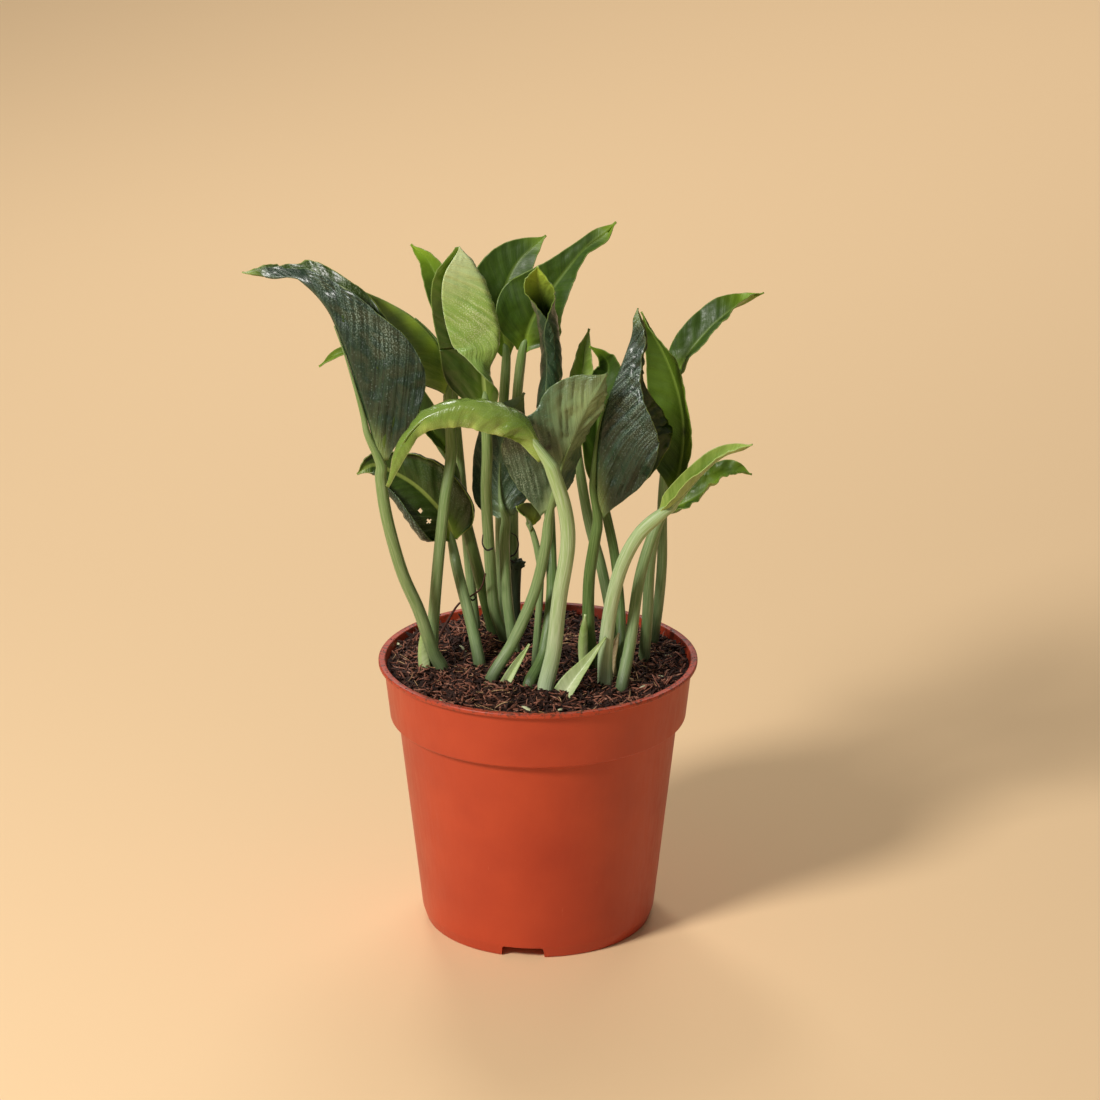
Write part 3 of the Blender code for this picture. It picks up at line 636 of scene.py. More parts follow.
@dataclass(frozen=True)
class LeafBlade:
    """A leaf blade, from the top of its petiole to its tip."""

    node: str
    midrib: tuple[tuple[float, float, float], ...]
    facing: tuple[tuple[float, float, float], tuple[float, float, float]]  # of the upper side, base and tip
    left: Half
    right: Half
    outline: str = "heart"
    lobe: float = 0.0  # how far the two base lobes reach back past the petiole
    look: LeafLook = LeafLook.GLOSSY
    slot: str = "leaf_green"
    ruffle: Ruffle = FLAT
    glow: tuple[float, float] = (0.78, 0.8)  # where along the blade the young tip starts, and its strength
    # patches of young colour; some are painted light where a strip of the blade is lit from above
    young_and_lit: tuple[Patch, ...] = ()
    # patches of silvering, which show as painted glints where the blade glistens
    silver_and_glint: tuple[Patch, ...] = ()
    decay: tuple[Patch, ...] = ()
    holes: tuple[Patch, ...] = ()
    rib_line: float = 0.5  # how plainly the midrib shows as a pale line
    rows: int = 72
    columns: int = 52

    THICKNESS = 0.34  # mm
    TIP_HALF_WIDTH = 0.45  # mm
    GROOVE = 0.5  # mm that the midrib sinks below the upper side
    GROOVE_HALF = 1.3  # mm
    BASE_GLOW = 0.75  # how far the blade takes on its petiole's colour where they meet
    BASE_SIZE = 5.0  # mm
    CURL_STEPS = 16
    LOBE_START = 0.25  # how far across a base lobe starts
    PLEAT_BEND = 0.012  # how far a pleat curves back for each mm outwards, squared
    PLEAT_LENGTH = 18.0  # mm outwards over which a pleat keeps its height
    WAVY_BAND = 9.0  # mm from the margin where its waves fade out
    OTHER_HALF = 31  # sets the right half's growth apart from the left's
    RIB_FADE = 0.6  # how much of the midrib's pale line is lost at the tip

    def frame_at(self, curve: list[Vector], u: float) -> tuple[Vector, Vector, Vector, Vector]:
        """Give the midrib's point and its three directions.

        Args:
            curve: The midrib as close points.
            u: How far along, from 0 to 1.

        Returns:
            The point, the direction along, the direction to the upper side, and the direction to the right.
        """
        along = u * (len(curve) - 1)
        row = min(int(along), len(curve) - 2)
        point = curve[row].lerp(curve[row + 1], along - row)
        tangent = (curve[min(row + 2, len(curve) - 1)] - curve[max(row - 1, 0)]).normalized()
        facing = Vector(self.facing[0]).lerp(Vector(self.facing[1]), u)
        up = (facing - facing.dot(tangent) * tangent).normalized()
        return point, tangent, up, tangent.cross(up)

    def curve(self) -> list[Vector]:
        """The midrib as close points, in mm."""
        return smooth_curve([Vector(point) for point in self.midrib], self.rows)

    def reach(self, u: float, v: float) -> float:
        """The width in mm of the half that v is on, at u."""
        half = self.right if v > 0 else self.left
        return max(half.width * between(OUTLINES[half.outline or self.outline], u), self.TIP_HALF_WIDTH)

    def offset(self, u: float, v: float) -> tuple[float, float]:
        """How far a point lies out from the midrib and up from it, in mm."""
        half = self.right if v > 0 else self.left
        fold = math.radians(between(half.fold, u))
        curl = math.radians(between(half.curl, u))
        start, end = half.bend
        piece = self.reach(u, v) * abs(v) / self.CURL_STEPS
        out = up = 0.0
        for step in range(self.CURL_STEPS):
            across = (step + 0.5) / self.CURL_STEPS * abs(v)
            angle = fold + curl * min(max((across - start) / (end - start), 0), 1)
            out += math.cos(angle) * piece
            up += math.sin(angle) * piece
        return out, up

    def place(self, curve: list[Vector], u: float, v: float) -> Vector:
        """The point of the smooth sheet, in mm.

        Args:
            curve: The midrib as close points.
            u: How far along the midrib, from 0 to 1.
            v: How far across, from -1 at the left margin to 1 at the right.

        Returns:
            The point.
        """
        point, tangent, up, side = self.frame_at(curve, u)
        out, lift = self.offset(u, v)
        back = self.lobe * (1 - u) ** 2 * max(abs(v) - self.LOBE_START, 0) ** 1.5
        return point + side * (out if v > 0 else -out) + up * lift - tangent * back

    def growth(self, along: float, across: float, edge: float, u: float, seed: float) -> float:
        """How far a point stands off the smooth sheet towards its upper side, in mm.

        Args:
            along: Distance along the midrib, in mm.
            across: Signed distance from the midrib, in mm.
            edge: Distance from the margin, in mm.
            u: How far along, from 0 to 1.
            seed: A number that differs from leaf to leaf.

        Returns:
            The distance in mm.
        """
        ruffle = self.ruffle
        out = abs(across)
        sweep = along - ruffle.sweep * out + self.PLEAT_BEND * out * out
        ends = smooth_step(0, 0.12, u) * (1 - smooth_step(0.9, 1, u))
        side = self.OTHER_HALF if across > 0 else 0
        at = Vector((sweep / ruffle.pleat_gap, out / self.PLEAT_LENGTH, seed + side))
        folds = noise.fractal(at, 0.9, 2.0, 2)
        pleats = folds * 2.2 * ruffle.pleat * smooth_step(0, 4, out)
        wave = noise.noise(Vector((along / ruffle.wave_length, seed + side, 0.5))) * 2.4 * ruffle.wave
        wave *= 1 - smooth_step(0, self.WAVY_BAND, edge)
        crumple = noise.fractal(Vector((along, across, seed * 9)) / ruffle.crumple_size, 1.0, 2.0, 3)
        groove = -self.GROOVE * math.exp(-(out / self.GROOVE_HALF) ** 2) * (1 - u)
        crumple *= ruffle.crumple * smooth_step(0.5, 4, out)
        return (pleats + crumple + wave) * ends + groove

    @staticmethod
    def strength(patches: tuple[Patch, ...], at: Vector, places: list[Vector]) -> float:
        """The strongest of some patches at a point of the flat sheet."""
        found = 0.0
        for patch, place in zip(patches, places):
            found = max(found, patch.strength * math.exp(-((at - place).length / patch.radius) ** 2))
        return min(found, 1.0)

    def build(self, wardrobe: Wardrobe, name: str) -> bpy.types.Object:
        """Make the blade: a grid bent into shape, ruffled, given its sheet map and attributes, and thickened.

        Args:
            wardrobe: Where the finishes come from.
            name: The piece's name.

        Returns:
            The blade's object.
        """
        curve = self.curve()
        length = sum((b - a).length for a, b in zip(curve, curve[1:]))
        seed = float(sum(ord(letter) for letter in self.node) % 97)
        bm = bmesh.new()
        bmesh.ops.create_grid(bm, x_segments=self.rows, y_segments=self.columns, size=0.5)
        bmesh.ops.reverse_faces(bm, faces=bm.faces)
        sheet = bm.loops.layers.uv.new(SHEET_MAP)
        layers = {key: bm.verts.layers.float.new(key) for key in BLADE_LAYERS}
        flats: list[Vector] = []
        shares: list[tuple[float, float]] = []
        for vertex in bm.verts:
            u, v = vertex.co.x + 0.5, 2 * vertex.co.y
            shares.append((u, v))
            flats.append(Vector((u * length, v * self.reach(u, v), 0)))
            vertex.co = self.place(curve, u, v)
        bm.normal_update()

        def flat_places(patches: tuple[Patch, ...]) -> list[Vector]:
            """Each patch's place on the flat sheet, in mm."""
            return [Vector((p.u * length, p.v * self.reach(p.u, p.v), 0)) for p in patches]

        # the young layer also carries painted light, and the silver layer painted glints
        spots = {"young_and_lit": self.young_and_lit, "silver_and_glint": self.silver_and_glint, "decay": self.decay}
        centres = {key: flat_places(patches) for key, patches in spots.items()}
        start, strength = self.glow
        normals = [vertex.normal.copy() for vertex in bm.verts]
        for vertex, normal, flat, (u, v) in zip(bm.verts, normals, flats, shares):
            edge = (1 - abs(v)) * self.reach(u, v)
            vertex.co += normal * self.growth(flat.x, flat.y, edge, u, seed)
            vertex.co *= MM
            for key, patches in spots.items():
                vertex[layers[key]] = self.strength(patches, flat, centres[key])
            from_base = Vector((flat.x * 0.5, flat.y * 1.6, 0)).length / self.BASE_SIZE
            vertex[layers["young_and_lit"]] = max(vertex[layers["young_and_lit"]], self.BASE_GLOW * math.exp(-from_base ** 2),
                                          strength * smooth_step(start, 1.0, u))
            vertex[layers["rib"]] = self.rib_line * (1 - self.RIB_FADE * u)
            vertex[layers["edge"]] = edge * MM
        for face in bm.faces:
            for loop in face.loops:
                flat = flats[loop.vert.index]
                loop[sheet].uv = (flat.x * MM, flat.y * MM)
        torn = [face for face in bm.faces
                if any((sum((flats[v.index] for v in face.verts), Vector()) / 4 - place).length < hole.radius
                       for hole, place in zip(self.holes, flat_places(self.holes)))]
        bmesh.ops.delete(bm, geom=torn, context="FACES")
        upper, lower = (wardrobe.get(skin) for skin in self.look.value)
        obj = make_object(name, bm, (upper, lower))
        solidify = obj.modifiers.new("Thickness", "SOLIDIFY")
        solidify.thickness = self.THICKNESS * MM
        solidify.offset = 0
        solidify.material_offset = 1
        solidify.material_offset_rim = 0
        return settle(obj, self.slot, self.node)


# ---------------------------------------------------------------- stalks


CHANNEL_TURN = 0.45  # radians from a channel's middle to where it fades
OUT_OF_ROUND = 0.035  # how far a stalk's section strays from a circle, as a share of the radius


def rolled_tube(route: Sequence[Vector], radii: Sequence[float], sides: int,
                channel: float = 0.0) -> bmesh.types.BMesh:
    """Roll a grid into a closed tube along a route.

    Args:
        route: The middle of the tube at each ring, in mm.
        radii: The radius at each ring, in mm.
        sides: How many sides the tube has.
        channel: How deep the groove along one side is, as a share of the radius.

    Returns:
        A bmesh in metres, closed and facing out, with its sheet map.
    """
    rings = len(route) - 1
    lengths = [0.0]
    for a, b in zip(route, route[1:]):
        lengths.append(lengths[-1] + (b - a).length)
    tangents = [(route[min(i + 1, rings)] - route[max(i - 1, 0)]).normalized() for i in range(rings + 1)]
    across = Vector((0, 1, 0)) if abs(tangents[0].y) < 0.9 else Vector((1, 0, 0))
    sides_way: list[Vector] = []
    for tangent in tangents:
        across = (across - across.dot(tangent) * tangent).normalized()
        sides_way.append(across)
    bm = bmesh.new()
    bmesh.ops.create_grid(bm, x_segments=rings, y_segments=sides, size=0.5)
    sheet = bm.loops.layers.uv.new(SHEET_MAP)
    shares = [(round((v.co.x + 0.5) * rings), v.co.y + 0.5) for v in bm.verts]
    for vertex, (ring, turn) in zip(bm.verts, shares):
        angle = math.tau * turn
        side = sides_way[ring]
        up = tangents[ring].cross(side)
        off = min(turn, 1 - turn) * math.tau
        radius = radii[ring] * (1 - channel * math.exp(-(off / CHANNEL_TURN) ** 2))
        radius *= 1 + OUT_OF_ROUND * math.cos(3 * angle + 1)
        vertex.co = (route[ring] + (side * math.cos(angle) + up * math.sin(angle)) * radius) * MM
    for face in bm.faces:
        for loop in face.loops:
            ring, turn = shares[loop.vert.index]
            loop[sheet].uv = (lengths[ring] * MM, turn * math.tau * radii[0] * MM)
    bmesh.ops.remove_doubles(bm, verts=bm.verts, dist=0.002 * MM)
    bmesh.ops.holes_fill(bm, edges=[edge for edge in bm.edges if edge.is_boundary])
    bmesh.ops.recalc_face_normals(bm, faces=bm.faces)
    return bm


@dataclass(frozen=True)
class Stalk:
    """A petiole or another round stem, from the soil up, running on under its blade as the midrib."""

    node: str
    route: tuple[tuple[float, ...], ...]
    radius: float = 2.2
    taper: float = 0.85
    look: StalkLook = StalkLook.GREEN
    slot: str = "petiole_green"
    swell: float = 0.06  # how much thicker the sheathing foot is
    flat: float = 0.14  # depth of the channel, as a share of the radius
    sides: int = 20

    BURIED = 3.0  # mm below the soil
    STEP = 1.8  # mm between rings
    RIB_END = 0.5  # how far along the blade its round midrib can be felt
    RIB_START = 0.04  # how far along the blade the stalk has become its midrib
    RIB_STEPS = 6
    RIB_SUNK = 0.9  # how deep the rib lies under the blade, as a share of its radius
    RIB_GAP = 0.05  # mm between the rib and the blade's lower skin
    RIB_TIP = 0.2  # mm, the rib's radius where it fades
    STRAIGHT = 2.6  # mm that it stands straight out of the soil
    FOOT = 9.0  # mm over which the foot narrows

    def points(self, bed: "SoilBed", blade: LeafBlade | None) -> tuple[list[Vector], float]:
        """The stalk's route with the blade's midrib after it.

        Args:
            bed: The soil that it stands in.
            blade: The blade that it carries, or None.

        Returns:
            The points in mm, and the share of them that the stalk itself takes.
        """
        x, y = self.route[0]
        ground = bed.plain_height(x, y)
        points = [Vector((x, y, ground - self.BURIED)), Vector((x, y, ground + self.STRAIGHT)),
                  *(Vector(point) for point in self.route[1:])]
        stalk_spans = len(points) - 1
        if blade is not None:
            curve = blade.curve()
            for step in range(1, self.RIB_STEPS + 1):
                t = step / self.RIB_STEPS
                u = self.RIB_START + (self.RIB_END - self.RIB_START) * t ** 1.2
                point, _, up, _ = blade.frame_at(curve, u)
                points.append(point - up * (self.rib_radius(t) * self.RIB_SUNK + self.RIB_GAP
                                            + LeafBlade.THICKNESS / 2 + LeafBlade.GROOVE * (1 - u)))
        return points, stalk_spans / (len(points) - 1)

    def rib_radius(self, t: float) -> float:
        """The midrib's radius in mm, at t from the stalk's top to where it fades."""
        return self.radius * self.taper * (1 - t) ** 1.5 * 0.7 + self.RIB_TIP

    def build(self, wardrobe: Wardrobe, bed: "SoilBed", blade: LeafBlade | None,
              name: str) -> bpy.types.Object:
        """Make the stalk as a rolled tube.

        Args:
            wardrobe: Where the finish comes from.
            bed: The soil that it stands in.
            blade: The blade that it carries, or None.
            name: The piece's name.

        Returns:
            The stalk's object.
        """
        points, share = self.points(bed, blade)
        rough_length = sum((b - a).length for a, b in zip(points, points[1:]))
        steps = max(int(rough_length / self.STEP), 8)
        route = smooth_curve(points, steps)
        radii = []
        risen = 0.0
        for step, place in enumerate(route):
            risen += (place - route[max(step - 1, 0)]).length
            t = step / steps
            foot = 1 + self.swell * math.exp(-((risen - self.BURIED) / self.FOOT) ** 2)
            if t <= share:
                radii.append(self.radius * (1 + (self.taper - 1) * t / share) * foot)
            else:
                radii.append(self.rib_radius((t - share) / (1 - share)))
        if blade is not None:
            runs = [radii[max(ring - 2, 0):ring + 3] for ring in range(len(radii))]
            radii = [sum(run) / len(run) for run in runs]
        bm = rolled_tube(route, radii, self.sides, self.flat)
        obj = make_object(name, bm, [wardrobe.get(self.look.value)])
        return settle(obj, self.slot, self.node)


# ---------------------------------------------------------------- pot and soil


@dataclass(frozen=True)
class NurseryPot:
    """The moulded pot: a turned wall with a band and a lip, and channels and drain holes in its floor."""

    lip_width: float = 2.6
    lip_depth: float = 1.6
    band_top: float = 58.0
    band_bottom_radius: float = 55.8
    band_bottom: float = 82.2
    wall_top_radius: float = 52.7
    wall_top: float = 81.0
    foot_top_radius: float = 44.5
    foot_top: float = 5.0
    foot_radius: float = 42.9
    wall: float = 1.2
    floor: float = 1.5
    floor_inset: float = 3.4  # from the foot's edge to where the thick corner starts on the floor
    inner_corner: float = 8.0
    channels: int = 3
    channel_turn: float = -97.6  # degrees from +X to the first
    channel_width: float = 16.2
    channel_height: float = 4.4
    channel_start: float = 17.5
    channel_wall: float = 1.2
    channel_flare: float = 0.7
    ridge_inset: float = 0.8  # from the foot's edge to the end of a channel's walls
    ridge_base: float = 0.5  # where those walls start, inside the floor
    drain_radius: float = 4.0
    drain_centre: float = 30.0
    drain_cut: float = 5.0  # length of the drill, centred on a channel's roof
    turn_steps: int = 180

    ROUND_STEPS = 4
    SHARP = 28.0  # degrees past which an edge stays sharp

    @property
    def height(self) -> float:
        """The pot's height in mm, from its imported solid."""
        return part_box("pot")[1].z / MM

    @property
    def lip_radius(self) -> float:
        """The lip's outer radius in mm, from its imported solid."""
        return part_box("pot")[1].x / MM

    def inner_radius(self, z: float) -> float:
        """The inside radius in mm at a height inside the band."""
        bottom, top = self.band_bottom + 1, self.height
        low, high = self.band_bottom_radius - self.wall, self.lip_radius - self.lip_width
        return low + (high - low) * (z - bottom) / (top - bottom)

    def profile(self) -> list[tuple[float, float, float]]:
        """The half section as radius, height and the rounding of each corner, all in mm."""
        lip = self.height - self.lip_depth
        return [
            (0, self.floor, 0),
            (self.foot_radius - self.floor_inset, self.floor, 1.5),
            (self.foot_top_radius - self.wall, self.inner_corner, 2.0),
            (self.wall_top_radius - self.wall, self.wall_top + 1, 0.4),
            (self.band_bottom_radius - self.wall, self.band_bottom + 1, 0.5),
            (self.lip_radius - self.lip_width, self.height, 0.5),
            (self.lip_radius, self.height, 0.5),
            (self.lip_radius, lip, 0.5),
            (self.band_top, lip - 0.5, 0.35),
            (self.band_bottom_radius, self.band_bottom, 0.6),
            (self.wall_top_radius, self.wall_top, 0.4),
            (self.foot_top_radius, self.foot_top, 0.4),
            (self.foot_radius, 0, 0.7),
            (0, 0, 0),
        ]

    def turned(self) -> bmesh.types.BMesh:
        """Spin the rounded half section all the way round."""
        bm = bmesh.new()
        corners = [bm.verts.new((radius * MM, 0, z * MM)) for radius, z, _ in self.profile()]
        for a, b in zip(corners, corners[1:]):
            bm.edges.new((a, b))
        for vertex, (_, _, rounding) in zip(corners, self.profile()):
            if rounding:
                bmesh.ops.bevel(bm, geom=[vertex], offset=rounding * MM, offset_type="OFFSET",
                                segments=self.ROUND_STEPS, profile=0.5, affect="VERTICES", material=-1)
        bmesh.ops.spin(bm, geom=[*bm.verts, *bm.edges], cent=(0, 0, 0), axis=(0, 0, 1), angle=math.tau,
                       steps=self.turn_steps, use_merge=True)
        bmesh.ops.remove_doubles(bm, verts=bm.verts, dist=0.01 * MM)
        bmesh.ops.recalc_face_normals(bm, faces=bm.faces)
        return bm

    def turns(self) -> list[Matrix]:
        """The turn of each channel about the pot's axis."""
        return [Matrix.Rotation(math.radians(self.channel_turn + 360 / self.channels * channel), 4, "Z")
                for channel in range(self.channels)]

    def radial_boxes(self, start: float, end: float, half: float, flare: float, bottom: float,
                     top: float, rounding: float) -> bpy.types.Object:
        """Make one box along each channel, for joining to the pot or cutting from it.

        Args:
            start: Where the box starts, in mm from the axis.
            end: Where it ends.
            half: Half its width at the top.
            flare: How much wider each side is at the bottom.
            bottom: Its lower height.
            top: Its upper height.
            rounding: The radius of its two long upper edges.

        Returns:
            A hidden object that holds all the boxes.
        """
        bm = bmesh.new()
        for turn in self.turns():
            box = bmesh.new()
            bmesh.ops.create_cube(box, size=1)
            for vertex in box.verts:
                wide = half + (flare if vertex.co.z < 0 else 0)
                vertex.co = (start + (vertex.co.x + 0.5) * (end - start), 2 * vertex.co.y * wide,
                             bottom + (vertex.co.z + 0.5) * (top - bottom))
            long_edges = [edge for edge in box.edges
                          if all(abs(v.co.z - top) < 0.01 for v in edge.verts)
                          and abs(edge.verts[0].co.x - edge.verts[1].co.x) > 1]
            bmesh.ops.bevel(box, geom=long_edges, offset=rounding, offset_type="OFFSET",
                            segments=self.ROUND_STEPS, profile=0.5, affect="EDGES", material=-1)
            bmesh.ops.transform(box, matrix=turn @ Matrix.Scale(MM, 4), verts=box.verts)
            pour(box, bm)
        return self.hidden(bm)

    def drains(self) -> bpy.types.Object:
        """Make a short round cutter over each channel."""
        bm = bmesh.new()
        roof = self.channel_height + self.channel_wall
        place = Matrix.Translation((self.drain_centre * MM, 0, roof * MM))
        for turn in self.turns():
            bmesh.ops.create_cone(bm, cap_ends=True, segments=32, radius1=self.drain_radius * MM,
                                  radius2=self.drain_radius * MM, depth=self.drain_cut * MM,
                                  matrix=turn @ place)
        return self.hidden(bm)

    @staticmethod
    def hidden(bm: bmesh.types.BMesh) -> bpy.types.Object:
        """Keep a shape as a tool that isn't part of the plant."""
        obj = make_object("pot_tool", bm, ())
        obj.hide_render = True
        return obj

    def build(self) -> bpy.types.Object:
        """Make the pot: turned, then its channels joined, hollowed and drained."""
        obj = make_object("nursery_pot", self.turned(), [MouldedPolypropylene().material(self.height * MM)])
        wall, height, flare = self.channel_wall, self.channel_height, self.channel_flare
        half = self.channel_width / 2
        ridges = self.radial_boxes(self.channel_start - wall, self.foot_radius - self.ridge_inset,
                                   half + wall, 0, self.ridge_base, height + wall, 0.8)
        cuts = self.radial_boxes(self.channel_start, self.lip_radius, half - flare / 2, flare, -height,
                                 height, 1.0)
        tools = (("UNION", ridges), ("DIFFERENCE", cuts), ("DIFFERENCE", self.drains()))
        for operation, tool in tools:
            modifier = obj.modifiers.new("Shape", "BOOLEAN")
            modifier.operation = operation
            modifier.solver = "EXACT"
            modifier.object = tool
        apply_modifiers(obj)
        for _, tool in tools:
            bpy.data.objects.remove(tool)
        bm = bmesh.new()
        bm.from_mesh(obj.data)
        bmesh.ops.remove_doubles(bm, verts=bm.verts, dist=0.003 * MM)
        bm.to_mesh(obj.data)
        bm.free()
        obj.data.shade_smooth()
        obj.data.set_sharp_from_angle(angle=math.radians(self.SHARP))
        return settle(obj, "pot_plastic", "pot")


@dataclass(frozen=True)
class Litter:
    """One kind of loose bit in the soil: how many there are, and how long and thick they are in mm."""

    name: str
    finish: CoirFinish
    count: int
    length: tuple[float, float]
    thickness: tuple[float, float]
    tilt: float  # degrees from lying flat
    lift: float = 0.2  # mm above the surface
    spread: float = 1.0  # share of the bed's radius that it covers

    SHAPES = 10
    FIBRE_STEPS = 5

    def shapes(self, rng: random.Random) -> list[bpy.types.Mesh]:
        """Make the few curled shapes that are strewn, each about 1 mm long per mm of scale."""
        made = []
        for _ in range(self.SHAPES):
            bend = rng.uniform(0.1, 0.5)
            twist = rng.uniform(-1.5, 1.5)
            route = []
            for step in range(self.FIBRE_STEPS + 1):
                t = step / self.FIBRE_STEPS - 0.5
                route.append(Vector((t, bend * (t * t - 0.12), 0.22 * math.sin(twist * t * 3))))
            radii = [0.5 * (1 - 0.5 * abs(2 * step / self.FIBRE_STEPS - 1) ** 3)
                     for step in range(self.FIBRE_STEPS + 1)]
            ratio = sum(self.thickness) / sum(self.length)
            bm = rolled_tube([point / MM for point in route], [radius * ratio / MM for radius in radii], 4)
            made.append(make_mesh(self.name, bm))
        return made


@dataclass(frozen=True)
class SoilBed:
    """The potting soil: a heaped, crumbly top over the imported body, with loose fibre and crumbs."""

    edge: float = 100.6
    crown: float = 2.0
    crown_radius: float = 58.0
    heaps: tuple[tuple[float, ...], ...] = ((-30.0, 18.0, 16.0, 3.0), (28.0, 40.0, 18.0, -1.6))
    cover: float = 0.9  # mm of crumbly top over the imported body
    rings: int = 110
    turns: int = 300
    seed: int = 11

    LUMP = 7.0
    CRUMB = 2.2
    THINNEST = 0.1  # the least cover
    WALL_GAP = 0.15
    SKIRT = 3.0  # depth of the top's edge
    SKIRT_SUNK = 0.5
    RIM_GAP = 0.8  # between the litter and the pot's wall
    LIP_SHARE = 22  # one crumb in so many lies on the lip

    def plain_height(self, x: float, y: float) -> float:
        """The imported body's height at a place, in mm."""
        crown = self.crown * (1 - (x * x + y * y) / self.crown_radius ** 2)
        heaps = sum(rise * math.exp(-((x - hx) ** 2 + (y - hy) ** 2) / size ** 2)
                    for hx, hy, size, rise in self.heaps)
        return self.edge + crown + heaps

    def height(self, x: float, y: float) -> float:
        """The crumbly top's height at a place, in mm."""
        lumps = noise.fractal(Vector((x, y, 3)) / self.LUMP, 0.9, 2.0, 3) * 1.0
        crumbs = noise.fractal(Vector((x, y, 9)) / self.CRUMB, 0.8, 2.1, 3) * 1.0
        return self.plain_height(x, y) + max(self.cover + lumps + crumbs, self.THINNEST)

    def top(self, pot: NurseryPot, wardrobe: Wardrobe) -> bpy.types.Object:
        """Make the crumbly top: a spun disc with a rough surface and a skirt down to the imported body."""
        radius = pot.inner_radius(self.edge) - self.WALL_GAP
        bm = bmesh.new()
        line = [bm.verts.new((radius * ring / self.rings * MM, 0, 0)) for ring in range(self.rings + 1)]
        skirt = bm.verts.new((radius * MM, 0, -self.SKIRT * MM))
        foot = bm.verts.new((0, 0, -self.SKIRT * MM))
        for a, b in zip(line, line[1:]):
            bm.edges.new((a, b))
        bm.edges.new((line[-1], skirt))
        bm.edges.new((skirt, foot))
        bmesh.ops.spin(bm, geom=[*bm.verts, *bm.edges], cent=(0, 0, 0), axis=(0, 0, 1), angle=math.tau,
                       steps=self.turns, use_merge=True)
        bmesh.ops.remove_doubles(bm, verts=bm.verts, dist=0.005 * MM)
        bmesh.ops.recalc_face_normals(bm, faces=bm.faces)
        for vertex in bm.verts:
            x, y, z = vertex.co / MM
            if z > -self.SKIRT / 2:
                vertex.co.z = self.height(x, y) * MM
            else:
                vertex.co.z += (self.edge - self.SKIRT_SUNK) * MM
        obj = make_object("soil_top", bm, [wardrobe.get(COIR)])
        return settle(obj, "soil_coir")

    def strew(self, litter: Litter, pot: NurseryPot, wardrobe: Wardrobe) -> bpy.types.Object:
        """Strew one kind of litter over the bed.

        Args:
            litter: What to strew.
            pot: The pot, for the bed's radius.
            wardrobe: Where the finish comes from.

        Returns:
            One object that holds all its bits.
        """
        rng = random.Random(self.seed + len(litter.name) * 101)
        shapes = litter.shapes(rng)
        reach = (pot.inner_radius(self.edge) - self.RIM_GAP) * litter.spread
        ratio = sum(litter.thickness) / sum(litter.length)
        bm = bmesh.new()
        for _ in range(litter.count):
            length = rng.uniform(*litter.length)
            thick = rng.uniform(*litter.thickness)
            bearing = rng.uniform(0, math.tau)
            away = max(reach - length * 0.3, 1) * math.sqrt(rng.random())
            x, y = away * math.cos(bearing), away * math.sin(bearing)
            z = self.height(x, y) + litter.lift + rng.uniform(-0.2, 0.5)
            tilt = math.radians(rng.uniform(-litter.tilt, litter.tilt))
            turn = Euler((rng.uniform(0, math.tau), tilt, rng.uniform(0, math.tau))).to_matrix().to_4x4()
            girth = thick / ratio
            size = Matrix.Diagonal((length, girth, girth, 1))
            place = Matrix.Translation(Vector((x, y, z)) * MM) @ turn @ size @ Matrix.Scale(MM, 4)
            mesh = rng.choice(shapes)
            mesh.transform(place)
            bm.from_mesh(mesh)
            mesh.transform(place.inverted())
        obj = make_object(litter.name, bm, [wardrobe.get(litter.finish)])
        return settle(obj, "soil_coir")

    def crumbs(self, pot: NurseryPot, wardrobe: Wardrobe, count: int = 1500) -> bpy.types.Object:
        """Scatter rounded pith crumbs over the bed and a few on the lip."""
        rng = random.Random(self.seed)
        reach = pot.inner_radius(self.edge) - self.RIM_GAP
        bm = bmesh.new()
        for index in range(count):
            bearing = rng.uniform(0, math.tau)
            on_lip = index % self.LIP_SHARE == 0
            away = (rng.uniform(pot.lip_radius - 2.2, pot.lip_radius - 0.7) if on_lip
                    else reach * math.sqrt(rng.random()))
            x, y = away * math.cos(bearing), away * math.sin(bearing)
            z = pot.height + 0.05 if on_lip else self.height(x, y) + 0.1
            size = rng.uniform(0.14, 0.34) if on_lip else rng.uniform(0.3, 0.85)
            squash = Matrix.Diagonal((1, rng.uniform(0.5, 0.9), rng.uniform(0.4, 0.8), 1))
            turn = Euler([rng.uniform(0, math.tau) for _ in range(3)]).to_matrix().to_4x4()
            place = Matrix.Translation(Vector((x, y, z)) * MM) @ turn @ squash @ Matrix.Scale(size * MM, 4)
            bmesh.ops.create_icosphere(bm, subdivisions=1, radius=1, matrix=place)
        obj = make_object("pith_crumbs", bm, [wardrobe.get(PITH)])
        return settle(obj, "soil_coir")

    def chips(self, wardrobe: Wardrobe) -> bpy.types.Object:
        """Lay the few pale slivers of husk where they show on the soil."""
        bm = bmesh.new()
        for x, y, bearing, tilt, length, width in HUSK_CHIPS:
            z = self.height(x, y) + 0.5
            turn = Euler((0.4, math.radians(tilt), math.radians(bearing))).to_matrix().to_4x4()
            place = Matrix.Translation(Vector((x, y, z)) * MM) @ turn
            box = bmesh.new()
            bmesh.ops.create_grid(box, x_segments=6, y_segments=2, size=0.5)
            for vertex in box.verts:
                t = vertex.co.x * 2
                vertex.co = Vector((vertex.co.x * length, vertex.co.y * width * (1 - 0.6 * t * t),
                                    0.09 * length * (1 - t * t))) * MM
            bmesh.ops.solidify(box, geom=box.faces[:], thickness=0.25 * MM)
            bmesh.ops.transform(box, matrix=place, verts=box.verts)
            pour(box, bm)
        bmesh.ops.recalc_face_normals(bm, faces=bm.faces)
        obj = make_object("husk_slivers", bm, [wardrobe.get(HUSK)])
        return settle(obj, "soil_coir")

